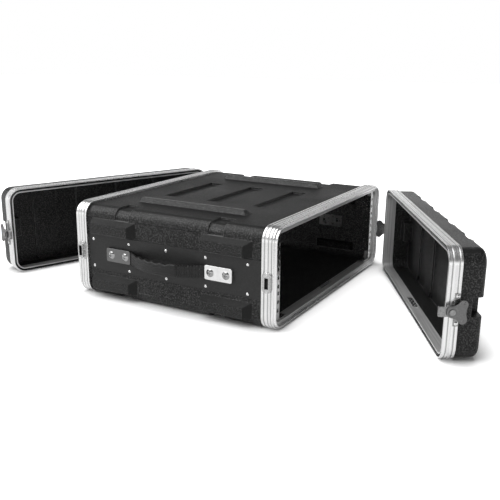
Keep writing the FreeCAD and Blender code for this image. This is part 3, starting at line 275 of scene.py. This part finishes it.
def rubber(name, level, rough):
    """Dull black rubber with a fine matt grain and a grey bloom in patches."""
    m = Nodes(name)
    grain = m.noise(1900.0, detail=3.0, rough=0.6)
    bloom = m.noise(55.0, detail=4.0, rough=0.6)
    edge_wear_and_highlight = m.edges(0.8 * MM)
    base = m.blend(m.spread(bloom, 0.0, 1.0, 0.35, 0.7), grey(level), grey(level * 1.7))
    m.colour(m.blend(m.spread(edge_wear_and_highlight, 0.0, 0.5), base, grey(level * 2.6)))
    m.roughness(m.spread(bloom, rough, rough + 0.14, *NOISE_SPAN))
    m.set(Specular_IOR_Level=0.38)
    m.bump((grain, 0.07 * MM))
    return m.material


FINISHES = {
    "shell_abs": textured_plastic("shell_abs", dark=0.001, light=0.06, gloss_rough=0.32, edge_wear_and_highlight_tone=0.14),
    "panel_abs": smooth_plastic("panel_abs"),
    "frame_aluminium": brushed_aluminium("frame_aluminium", dark=0.74, light=0.93, rough=0.25),
    "zinc": plated_zinc("zinc", dark=0.5, light=0.9, rough=0.2, scale=170.0),
    "latch_zinc": plated_zinc("latch_zinc", dark=0.2, light=0.36, rough=0.3, scale=330.0),
    "chrome_plate": polished_metal("chrome_plate", tone=0.86, rough=0.08),
    "rivet_aluminium": polished_metal("rivet_aluminium", tone=0.8, rough=0.18),
    "handle_rubber": rubber("handle_rubber", level=0.006, rough=0.42),
    "seal_rubber": rubber("seal_rubber", level=0.008, rough=0.55),
    "spring_steel": polished_metal("spring_steel", tone=0.5, rough=0.25),
}
POLISHED_ALUMINIUM = brushed_aluminium(
    "polished_aluminium", dark=0.45, light=0.68, rough=0.32, metal=0.5)
# Painted shade: a darker copy of the frame metal for the floors of its grooves.
GROOVE_SHADE_ALUMINIUM = brushed_aluminium("groove_shade_aluminium", dark=0.34, light=0.5, rough=0.34)
# Painted shade: a darker, rougher copy of the shell finish for slot floors, bumper tops and ends and channel
# floors.
PAINTED_SHADE_ABS = textured_plastic(
    "painted_shade_abs", dark=0.0015, light=0.004, gloss_rough=0.5, edge_wear_and_highlight_tone=0.05)
# Painted dark reflection: a dark copy of the chrome for the rear handle caps.
DARK_REFLECTION_CHROME = polished_metal("dark_reflection_chrome", tone=0.17, rough=0.1)
SCREW_CHROME = polished_metal("screw_chrome", tone=0.4, rough=0.1)
WING_PLATE = plated_zinc("wing_plate", dark=0.13, light=0.2, rough=0.34, scale=330.0)
# Painted highlight: a pale copy of the wing plate for the wings' edges and slopes.
RIM_HIGHLIGHT_ZINC = plated_zinc("rim_highlight_zinc", dark=0.6, light=0.9, rough=0.25, scale=330.0)
KEEPER_PLATE = plated_zinc("keeper_plate", dark=0.36, light=0.6, rough=0.25, scale=330.0)
SHADED_ZINC = plated_zinc("shaded_zinc", dark=0.02, light=0.06, rough=0.5, scale=330.0)
BLACK_SCREW = polished_metal("black_screw", tone=0.05, rough=0.3)
INNER_ABS = textured_plastic("inner_abs", dark=0.016, light=0.12, gloss_rough=0.32, edge_wear_and_highlight_tone=0.2)
# Painted highlight: a pale copy of the shell finish for the bumpers' rounded creases.
CREASE_HIGHLIGHT_ABS = textured_plastic("crease_highlight_abs", dark=0.1, light=0.26, gloss_rough=0.36, edge_wear_and_highlight_tone=0.3)
SPECIAL_FINISHES = {"handle_screws": SCREW_CHROME, "rail_screws": BLACK_SCREW}


def finish_of(node):
    """The record's material slot of a CAD node."""
    return next(part["material_slot"] for part in frame["record"]["subparts"]
                if part["node"] == node)


def paint(piece, slot):
    """A piece's one material, by the record's slot."""
    piece.data.materials.clear()
    piece.data.materials.append(FINISHES[slot])


# ---------------------------------------------------------------- pieces made in mesh code
FLAT_FACE_WEIGHT = 80
WELD = 0.002 * MM
NEARLY_HALF = 0.45
EDGE_FACE = 3


def body_of_node(node):
    """The moving body that a CAD node belongs to."""
    bodies = frame["record"]["behaviour"]["bodies"]
    return next(body for body, members in bodies.items() if node in members)


def settle(piece, node):
    """A finished piece takes the place, body and finish of a CAD node."""
    slot = finish_of(node)
    paint(piece, slot)
    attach(piece, body_of_node(node))
    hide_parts(node)
    return piece


def new_piece(name, mesh_builder, place=None):
    """An object made from a finished bmesh, where the scene's origin or a given place puts it."""
    mesh = bpy.data.meshes.new(name)
    mesh_builder.to_mesh(mesh)
    mesh_builder.free()
    piece = bpy.data.objects.new(name, mesh)
    if place is not None:
        piece.matrix_world = place
    scene.collection.objects.link(piece)
    return piece


def smooth(piece, angle=35.0):
    """Smooth shading with weighted normals, so that flats stay flat beside round edges."""
    piece.data.shade_smooth()
    piece.data.set_sharp_from_angle(angle=math.radians(angle))
    weigh = piece.modifiers.new("weigh", "WEIGHTED_NORMAL")
    weigh.keep_sharp = True
    weigh.weight = FLAT_FACE_WEIGHT


def bridge(mesh, ring, following):
    """The faces between two rings with as many points as each other."""
    faces = []
    for k, vertex in enumerate(ring):
        after = (k + 1) % len(ring)
        faces.append(mesh.faces.new((vertex, ring[after], following[after], following[k])))
    return faces


def refined(node, radius, segments=2, angle=30.0):
    """The CAD node's own shape, welded, with every sharp edge rounded, held inside the node's
    box. The new faces along the edges are numbered. A piece with fewer materials than that
    shows them in its last one."""
    mesh = bmesh.new()
    mesh.from_mesh(frame["nodes"][node].data)
    bmesh.ops.remove_doubles(mesh, verts=mesh.verts, dist=WELD)
    sharp = [e for e in mesh.edges
             if len(e.link_faces) == 2 and e.calc_face_angle() > math.radians(angle)]
    made = bmesh.ops.bevel(mesh, geom=sharp, offset=radius, offset_type="OFFSET",
                           segments=segments, profile=0.5, affect="EDGES", clamp_overlap=False)
    for face in mesh.faces:
        face.material_index = 0
    for face in made["faces"]:
        face.material_index = EDGE_FACE
    low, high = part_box(node)
    for vertex in mesh.verts:
        vertex.co = [min(max(place, least), most)
                     for place, least, most in zip(vertex.co, low, high)]
    piece = new_piece(f"{node}_piece", mesh)
    smooth(piece)
    return settle(piece, node)


# ---------------------------------------------------------------- extrusions bent round the case
FRAME_CORNER, SMALLEST_BEND = 27.0, 2.0
STAND_OFF = {"front": 25 * MM, "rear": 34.5 * MM}
GROOVE_FLOOR, GROOVE_SLOPE = 0.9, 0.5
FLOOR_SPAN = (GROOVE_FLOOR - 0.3, GROOVE_FLOOR + 0.1)
# Material indices: the polished inner faces, then painted shade in the grooves.
POLISHED, GROOVE_SHADE = 1, 2


def groove(first, last):
    """A shallow groove in the outer face, as (inset, reach) points in mm along the outline."""
    slope = math.copysign(GROOVE_SLOPE, last - first)
    return [(0, first), (GROOVE_FLOOR, first + slope), (GROOVE_FLOOR, last - slope), (0, last)]


CASE_FRAME = [
    (0, 195), *groove(198.6, 201.7), *groove(206.2, 208.9), *groove(212.6, 215.1), (0, 218),
    (2.9, 218), (2.9, 222.4), (3.6, 223), (5.5, 223), (6.2, 222.4), (6.2, 218), (13, 218),
    (13, 198), (10, 198), (10, 212), (5, 212), (5, 195)]
LID_FRAME = [
    (0, 240.1), *groove(236.4, 233.7), *groove(226, 223.3), (0, 218.4), (2.6, 218.4), (2.6, 225.6),
    (6.8, 225.6), (6.8, 219.6), (9.2, 219.6), (9.2, 240.1), (7, 240.1), (7, 228.6), (2.6, 228.6),
    (2.6, 240.1)]
LID_SEAL = [
    (2.9, 225.5), (2.9, 224.4), (3.5, 223.9), (4.7, 223.4), (5.9, 223.9), (6.5, 224.4),
    (6.5, 225.5)]
CASE_ROUND, LID_ROUND, SEAL_ROUND = 0.45, 0.4, 0.4
CASE_INNER, LID_INNER = 6.4, 6.6


def rounded_profile(points, radius, steps=3):
    """A closed outline of (inset, reach) points, in mm, with every corner rounded."""
    outline = []
    count = len(points)
    for i, corner in enumerate(points):
        here = Vector(corner)
        back, ahead = Vector(points[i - 1]) - here, Vector(points[(i + 1) % count]) - here
        cut = min(radius, NEARLY_HALF * back.length, NEARLY_HALF * ahead.length)
        start, end = here + cut * back.normalized(), here + cut * ahead.normalized()
        for k in range(steps + 1):
            t = k / steps
            outline.append((1 - t) ** 2 * start + 2 * t * (1 - t) * here + t ** 2 * end)
    return outline


def loop_round(half_width, height, corner, inset, arc_steps=14):
    """Points round the case's section at an inset, as (x, z) in mm from the bottom middle."""
    points = []
    radius = max(corner - inset, SMALLEST_BEND)
    centres = [(1, 1, 0), (-1, 1, 90), (-1, -1, 180), (1, -1, 270)]
    for side, upper, first in centres:
        cx = side * (half_width - corner)
        cz = height / 2 + upper * (height / 2 - corner)
        for k in range(arc_steps + 1):
            angle = math.radians(first + 90 * k / arc_steps)
            points.append((cx + radius * math.cos(angle), cz + radius * math.sin(angle)))
    return points


def swept(name, node, profile, end, place, bright_inset=None):
    """A profile carried round the section. With a bright_inset, the grooves in the outside take
    painted shade, and faces further in than it are polished."""
    size = frame_size()
    mesh = bmesh.new()
    rings = []
    for inset, reach in profile:
        y = (-reach if end == "front" else reach) * MM
        rings.append([mesh.verts.new((x * MM, y, z * MM))
                      for x, z in loop_round(*size, FRAME_CORNER, inset)])
    for ring, following in zip(rings, rings[1:] + rings[:1]):
        bridge(mesh, ring, following)
    bmesh.ops.recalc_face_normals(mesh, faces=mesh.faces)
    piece = new_piece(name, mesh, place)
    smooth(piece, angle=40.0)
    settle(piece, node)
    if bright_inset is None:
        return
    for material in (POLISHED_ALUMINIUM, GROOVE_SHADE_ALUMINIUM):
        piece.data.materials.append(material)
    insets = [inset for inset, _ in profile]
    for index, face in enumerate(piece.data.polygons):
        band = index // len(rings[0])
        shallow, deep = sorted((insets[band], insets[(band + 1) % len(insets)]))
        if shallow > bright_inset:
            face.material_index = POLISHED
        # Groove floors take the painted shade.
        elif FLOOR_SPAN[0] < shallow and deep < FLOOR_SPAN[1]:
            face.material_index = GROOVE_SHADE


def frame_size():
    """The case frame's half width and height, in mm."""
    low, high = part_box("front_frame")
    return high.x / MM, (high.z - low.z) / MM


def stand(end):
    """How a lid's place on the case, pulled off and square, turns to its place at rest."""
    swing = next(j for j in frame["joints"] if j["name"] == f"{end}_lid_swing")
    square = math.radians(sum(swing["range_deg"]))
    origin = Vector(swing["pos_m"])
    pulled = Matrix.Translation((0, -STAND_OFF[end] if end == "front" else STAND_OFF[end], 0))
    return (Matrix.Translation(origin) @ Matrix.Rotation(-square, 4, "Z")
            @ Matrix.Translation(-origin) @ pulled)


def make_extrusions():
    """The frame on each end of the case, and each lid's frame and seal."""
    for end in ("front", "rear"):
        case = rounded_profile(CASE_FRAME, CASE_ROUND)
        swept(f"{end}_frame_piece", f"{end}_frame", case, end, Matrix.Identity(4), CASE_INNER)
        lid = rounded_profile(LID_FRAME, LID_ROUND)
        swept(f"{end}_lid_frame_piece", f"{end}_lid_frame", lid, end, stand(end), LID_INNER)
        seal = rounded_profile(LID_SEAL, SEAL_ROUND, 2)
        swept(f"{end}_lid_seal_piece", f"{end}_lid_seal", seal, end, stand(end))


# ---------------------------------------------------------------- pieces with rounded edges
EDGE_ROUNDING = {
    "side_panel": 0.4 * MM, "handle_cap": 0.6 * MM, "keeper": 0.4 * MM, "rack_rail": 0.3 * MM,
    "lid_shell": 0.9 * MM, "latch_plate": 0.35 * MM, "latch_hook": 0.4 * MM}
SHELL_ROUNDING = 1.2 * MM
SLOT_DEPTH, BUMPER_RISE, CREASE = 13.5 * MM, 10 * MM, 8.5 * MM
INNER_WALL, FLOOR_TOP, CEILING = 250.5 * MM, 9.5 * MM, 170 * MM
CHANNEL_FLOOR, CHANNEL_FACING = (2 * MM, 6 * MM), 0.7
SLOT_BAND = 0.6 * SLOT_DEPTH
FACING_UP, LEANING_UP, TURNED_ALONG = 0.9, 0.5, 0.3
# Material indices: painted shade, then the paler inside.
PAINTED_SHADE, INSIDE = 1, 2
KEEPER_SLOT = {
    "reach": 208 * MM, "half_width": 3.7 * MM, "half_height": 10.2 * MM, "face": 6 * MM}


def make_refined_pieces():
    """The CAD's own pieces with rounded edges, and with further finishes: painted shade in hollows, a painted dark
    reflection and painted highlights.
    """
    for node in frame["nodes"]:
        for words, radius in EDGE_ROUNDING.items():
            if words in node and "rivets" not in node:
                piece = refined(node, radius)
                if "handle_cap_rear" in node:
                    # The rear caps take the painted dark reflection.
                    piece.data.materials[0] = DARK_REFLECTION_CHROME
                if words == "keeper":
                    darken_slot(piece)
                if words == "lid_shell":
                    paint_channel_shade(piece)
    paint_hollow_shade(refined("case_shell", SHELL_ROUNDING))


def darken_slot(piece):
    """The floor and walls of a keeper's slot are in the dark, and so are its rounded edges, which
    show its last material."""
    piece.data.materials[0] = KEEPER_PLATE
    piece.data.materials.append(SHADED_ZINC)
    low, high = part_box(piece.name.removesuffix("_piece"))
    middle = (low + high) / 2
    slot_mouth = frame_size()[0] * MM + KEEPER_SLOT["face"]
    for face in piece.data.polygons:
        across = abs(abs(face.center.y) - KEEPER_SLOT["reach"])
        along = abs(face.center.z - middle.z)
        beside_slot = across < KEEPER_SLOT["half_width"] and along < KEEPER_SLOT["half_height"]
        if beside_slot and abs(face.center.x) < slot_mouth:
            face.material_index = PAINTED_SHADE


def paint_channel_shade(piece):
    """The floors of the lid's channels, where they run out over its top edge, take painted shade."""
    piece.data.materials.append(PAINTED_SHADE_ABS)
    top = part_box(piece.name.removesuffix("_piece"))[1].z
    for face in piece.data.polygons:
        below = top - face.center.z
        in_channel = CHANNEL_FLOOR[0] < below < CHANNEL_FLOOR[1]
        on_floor = in_channel and face.normal.z > CHANNEL_FACING
        face.material_index = PAINTED_SHADE if on_floor else 0


def paint_hollow_shade(piece):
    """The slots' floors and the bumpers' upper faces and ends take painted shade, a darker copy of the
    shell's finish; its inside is paler, and the bumpers' rounded creases take a painted highlight, palest of all."""
    for material in (PAINTED_SHADE_ABS, INNER_ABS, CREASE_HIGHLIGHT_ABS):
        piece.data.materials.append(material)
    low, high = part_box("case_shell")
    slot_floor, wall = high.z - SLOT_DEPTH, low.x + BUMPER_RISE
    for face in piece.data.polygons:
        centre, normal = face.center, face.normal
        in_slot = abs(centre.z - slot_floor) < SLOT_BAND and normal.z > FACING_UP
        on_bumper = abs(centre.x) > abs(wall) + MM and normal.x * centre.x > 0
        faces_up_or_along = normal.z > LEANING_UP or abs(normal.y) > TURNED_ALONG
        # The bumpers' rounded creases take the painted highlight.
        on_crease = face.material_index == EDGE_FACE and abs(centre.x) > abs(wall) + CREASE
        face.material_index = EDGE_FACE if on_crease else 0
        if on_crease:
            continue
        inside = abs(centre.x) < INNER_WALL and FLOOR_TOP < centre.z < CEILING
        # Slot floors and the bumpers' upper faces and ends take the painted shade.
        if in_slot or (on_bumper and faces_up_or_along):
            face.material_index = PAINTED_SHADE
        elif inside and normal.z > -FACING_UP:
            face.material_index = INSIDE


# ---------------------------------------------------------------- handle grips
GRIP_END, GRIP_MIDDLE, GRIP_CORNER = 4 * MM, 11 * MM, 3.2 * MM
GRIP_RINGS, FACE_POINTS, CORNER_POINTS = 168, 24, 6
SCALLOPS = {"start": -22 * MM, "end": 72 * MM, "pitch": 19 * MM, "depth": 2.2 * MM}
BELLOWS = {"start": -74 * MM, "end": -32 * MM, "pitch": 4.6 * MM, "depth": 1.5 * MM}
BELLOWS_SQUEEZE = 0.6
LINE_HEIGHTS, LINE_WIDTH, LINE_DEPTH = (-4.5 * MM, 4.5 * MM), 0.8 * MM, 0.7 * MM


def waves(y, kind):
    """How far a run of equal hollows cuts in at y."""
    if not kind["start"] < y < kind["end"]:
        return 0.0
    phase = 2 * math.pi * (y - kind["start"]) / kind["pitch"]
    return kind["depth"] * (0.5 - 0.5 * math.cos(phase))


def bowed(y, middle, half_chord, start, rise):
    """How far out an arc is at y, from start at its ends to start + rise in the middle."""
    radius = (half_chord ** 2 + rise ** 2) / (2 * rise)
    return start - radius + rise + math.sqrt(max(radius ** 2 - (y - middle) ** 2, 0.0))


def grip_section(inner, outer, low, high, corner):
    """Points round the grip's section as (out, up), with two grooves along the outer face."""
    section = []
    reach = min(corner, NEARLY_HALF * (outer - inner))
    middle = (low + high) / 2
    for k in range(FACE_POINTS + 1):
        up = low + corner + (high - low - 2 * corner) * k / FACE_POINTS
        dip = sum(math.exp(-((up - middle - shift) / LINE_WIDTH) ** 2) for shift in LINE_HEIGHTS)
        section.append((outer - LINE_DEPTH * dip, up))
    top, bottom = high - corner, low + corner
    corners = [(0, outer - reach, top), (90, inner + reach, top), (180, inner + reach, bottom),
               (270, outer - reach, bottom)]
    for first, across, height in corners:
        for k in range(1, CORNER_POINTS):
            angle = math.radians(first + 90 * k / CORNER_POINTS)
            section.append((across + reach * math.cos(angle), height + corner * math.sin(angle)))
    return section


def make_grip(side):
    """The bowed rubber grip: finger hollows along its upper edge, bellows before the front cap."""
    low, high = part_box(f"handle_grip_{side}")
    sign = 1 if side == "right" else -1
    wall, out = sorted((abs(low.x), abs(high.x)))
    middle, half_chord = (low.y + high.y) / 2, (high.y - low.y) / 2
    mesh = bmesh.new()
    rings = []
    for k in range(GRIP_RINGS + 1):
        y = low.y + (high.y - low.y) * k / GRIP_RINGS
        bellows = waves(y, BELLOWS)
        outer = bowed(y, middle, half_chord, wall + GRIP_END, out - wall - GRIP_END) - bellows
        inner = bowed(y, middle, half_chord, wall, out - GRIP_MIDDLE - wall)
        squeeze = BELLOWS_SQUEEZE * bellows
        section = grip_section(inner, outer, low.z + squeeze,
                               high.z - waves(y, SCALLOPS) - squeeze, GRIP_CORNER)
        rings.append([mesh.verts.new((sign * across, y, up)) for across, up in section])
    for ring, following in zip(rings, rings[1:]):
        bridge(mesh, ring, following)
    mesh.faces.new(rings[0])
    mesh.faces.new(rings[-1])
    bmesh.ops.recalc_face_normals(mesh, faces=mesh.faces)
    piece = new_piece(f"handle_grip_{side}_piece", mesh)
    smooth(piece, angle=50.0)
    settle(piece, f"handle_grip_{side}")


# ---------------------------------------------------------------- latch wings
LATCH_PIVOT, MID_LEVEL = 226 * MM, 90 * MM
WING_LIFT, WING_THICKNESS, WING_HOLE = 9.6 * MM, 2.2 * MM, 3.1 * MM
WING_HALF = [
    (-8.4, 4.4), (-5.0, 8.2), (0.5, 9.8), (5.0, 10.6), (10.2, 15.0), (13.4, 19.3), (18.4, 19.6),
    (22.4, 16.6), (23.8, 12.4), (22.4, 7.6), (21.6, 3.0)]
WING_CORNER, WING_EDGE, EDGE_BEND = 2.4, 0.5 * MM, 1.2
PIN_DISC = [(5.3, -0.3), (5.4, 0.5), (5.9, 0.8), (8.0, 0.8), (8.6, 0.5), (8.8, -0.3)]
HORN_BUMP, HORN_DOME = (17.4, 14.8), [(0.0, 1.1), (1.2, 0.95), (2.1, 0.45), (2.5, -0.3)]
FLAT_ENOUGH, RIM = 0.9, 1
ROUND_STEPS = 32


def at_latch(end, side):
    """From a frame with its origin on the front right latch's pivot at the frame's face, and the
    lid on its front opening, to the place of any latch at rest."""
    outside = frame_size()[0] * MM
    pivot = Matrix.Translation((outside, -LATCH_PIVOT, MID_LEVEL))
    over = Matrix.Identity(4)
    if (side == "right") != (end == "front"):
        axis = Matrix.Translation((0, 0, MID_LEVEL))
        over = axis @ Matrix.Rotation(math.pi, 4, "Y") @ axis.inverted()
    turned = Matrix.Rotation(math.pi, 4, "Z") if end == "rear" else Matrix.Identity(4)
    return stand(end) @ turned @ over @ pivot


def make_wing(end, side):
    """The hand wing: a pressed plate with a round hole, two horns with a small dome each, and a
    raised ring round the pin. Every edge and slope takes a painted highlight, brighter than the flats."""
    outline = WING_HALF + [(along, -up) for along, up in reversed(WING_HALF)]
    outline = [point * MM for point in rounded_profile(outline, WING_CORNER, 4)]
    mesh = bmesh.new()
    turns = [math.tau * k / ROUND_STEPS for k in range(ROUND_STEPS)]
    hole = [Vector((WING_HOLE * math.cos(turn), WING_HOLE * math.sin(turn))) for turn in turns]
    for loop in (outline, hole):
        corners = [mesh.verts.new((WING_LIFT, -along, up)) for along, up in loop]
        for first, second in zip(corners, corners[1:] + corners[:1]):
            mesh.edges.new((first, second))
    bmesh.ops.triangle_fill(mesh, edges=mesh.edges[:], use_beauty=True, use_dissolve=True)
    grown = bmesh.ops.extrude_face_region(mesh, geom=mesh.faces[:])
    raised = [item for item in grown["geom"] if isinstance(item, bmesh.types.BMVert)]
    bmesh.ops.translate(mesh, verts=raised, vec=(WING_THICKNESS, 0, 0))
    bmesh.ops.recalc_face_normals(mesh, faces=mesh.faces)
    rim = [e for e in mesh.edges if len(e.link_faces) == 2 and e.calc_face_angle() > EDGE_BEND]
    bmesh.ops.bevel(mesh, geom=rim, offset=WING_EDGE, offset_type="OFFSET", segments=2,
                    profile=0.5, affect="EDGES", clamp_overlap=True)
    face = WING_LIFT + WING_THICKNESS
    turned_ring(mesh, (face, 0, 0), PIN_DISC)
    for upper in (1, -1):
        centre = (face, -HORN_BUMP[0] * MM, upper * HORN_BUMP[1] * MM)
        turned_ring(mesh, centre, HORN_DOME)
    flip = Matrix.Rotation(math.pi, 4, "X") if (end, side) == ("front", "right") else Matrix()
    mesh.normal_update()
    # Edges and slopes take the painted highlight, flats the plate.
    for surface in mesh.faces:
        surface.material_index = RIM if abs(surface.normal.x) < FLAT_ENOUGH else 0
    piece = new_piece(f"{end}_lid_latch_wing_{side}_piece", mesh, at_latch(end, side) @ flip)
    smooth(piece, angle=40.0)
    settle(piece, f"{end}_lid_latch_wing_{side}")
    piece.data.materials[0] = WING_PLATE
    piece.data.materials.append(RIM_HIGHLIGHT_ZINC)


def turned_ring(mesh, centre, profile, steps=ROUND_STEPS):
    """A raised form turned about the X direction: a ring, or a dome where the profile starts at
    the middle. The profile is (radius, rise) in mm."""
    rings = []
    for radius, rise in profile:
        if radius == 0.0:
            rings.append([mesh.verts.new((centre[0] + rise * MM, centre[1], centre[2]))])
            continue
        rings.append([mesh.verts.new((
            centre[0] + rise * MM, centre[1] + radius * MM * math.cos(math.tau * k / steps),
            centre[2] + radius * MM * math.sin(math.tau * k / steps))) for k in range(steps)])
    made = []
    for ring, following in zip(rings, rings[1:]):
        if len(ring) > 1:
            made += bridge(mesh, ring, following)
            continue
        for k in range(steps):
            after = (k + 1) % steps
            made.append(mesh.faces.new((ring[0], following[after], following[k])))
    if len(rings[0]) > 1:
        made += bridge(mesh, rings[-1], rings[0])
    else:
        made.append(mesh.faces.new(rings[-1]))
    bmesh.ops.recalc_face_normals(mesh, faces=made)


def finish_the_rest():
    """Every CAD node that still shows takes its finish."""
    for name, node in frame["nodes"].items():
        if not node.hide_render:
            node.data.materials.clear()
            finish = SPECIAL_FINISHES.get(name, FINISHES[finish_of(name)])
            node.data.materials.append(finish)


# ---------------------------------------------------------------- stage
SOFTBOX_DIRECTION = (-0.3, 0.42, 0.86)
SOFTBOX_SPREAD, SOFTBOX_STRENGTH = 70.0, 3.0
ROOM_LEVEL, BACKDROP_LEVEL, BACKDROP_TOP = 0.2, 1.5, (0.06, 0.36)
FLOOR_LIFT, CONTACT_SHADOW, SHADOW_SPAN = 0.75, 70 * MM, (0.55, 0.95)
FLOOR_HALF = 14.0
WHITE = (1, 1, 1, 1)


def make_floor():
    """Pale paper, lit a little past white to the eye, so that only contact shadows show."""
    m = Nodes("floor_paper")
    tone = m.noise(3.0, detail=3.0)
    m.colour(m.blend(tone, grey(0.9), grey(0.93)))
    m.set(Roughness=0.9, Specular_IOR_Level=0.1)
    m.shader.inputs["Emission Color"].default_value = WHITE
    seen = m.add("ShaderNodeLightPath").outputs["Is Camera Ray"]
    near = m.add("ShaderNodeAmbientOcclusion", samples=8)
    near.inputs["Distance"].default_value = CONTACT_SHADOW
    lift = m.combine(seen, m.spread(near.outputs["AO"], 0.0, FLOOR_LIFT, *SHADOW_SPAN), "MULTIPLY")
    m.link(lift, m.shader.inputs["Emission Strength"])
    mesh = bmesh.new()
    bmesh.ops.create_grid(mesh, x_segments=8, y_segments=8, size=FLOOR_HALF)
    floor = new_piece("floor", mesh)
    floor.data.materials.append(m.material)


def make_sun():
    """A broad overhead softbox, far enough away to light the whole floor alike."""
    data = bpy.data.lights.new("softbox", "SUN")
    data.angle = math.radians(SOFTBOX_SPREAD)
    data.energy = SOFTBOX_STRENGTH
    lamp = bpy.data.objects.new("softbox", data)
    lamp.rotation_mode = "QUATERNION"
    lamp.rotation_quaternion = Vector(SOFTBOX_DIRECTION).to_track_quat("Z", "Y")
    scene.collection.objects.link(lamp)


def make_world():
    """A white backdrop to the eye. In the reflections, a bright backdrop that fades upwards to a
    grey room."""
    world = bpy.data.worlds.new("studio")
    world.use_nodes = True
    tree = world.node_tree
    place = tree.nodes.new("ShaderNodeTexCoord")
    height = tree.nodes.new("ShaderNodeSeparateXYZ")
    fade = tree.nodes.new("ShaderNodeMapRange")
    limits = {"From Min": BACKDROP_TOP[0], "From Max": BACKDROP_TOP[1], "To Min": BACKDROP_LEVEL,
              "To Max": ROOM_LEVEL}
    for key, value in limits.items():
        fade.inputs[key].default_value = value
    room = tree.nodes["Background"]
    seen = tree.nodes.new("ShaderNodeBackground")
    seen.inputs["Color"].default_value = WHITE
    path = tree.nodes.new("ShaderNodeLightPath")
    choose = tree.nodes.new("ShaderNodeMixShader")
    tree.links.new(place.outputs["Generated"], height.inputs[0])
    tree.links.new(height.outputs["Z"], fade.inputs["Value"])
    tree.links.new(fade.outputs["Result"], room.inputs["Strength"])
    room.inputs["Color"].default_value = WHITE
    tree.links.new(path.outputs["Is Camera Ray"], choose.inputs[0])
    tree.links.new(room.outputs[0], choose.inputs[1])
    tree.links.new(seen.outputs[0], choose.inputs[2])
    tree.links.new(choose.outputs[0], tree.nodes["World Output"].inputs["Surface"])
    scene.world = world


def make_stage():
    """Floor, backdrop and light."""
    make_floor()
    make_world()
    make_sun()
    scene.view_settings.view_transform = "Standard"


make_camera()
make_extrusions()
make_refined_pieces()
for side in ("left", "right"):
    make_grip(side)
    for end in ("front", "rear"):
        make_wing(end, side)
finish_the_rest()
make_stage()
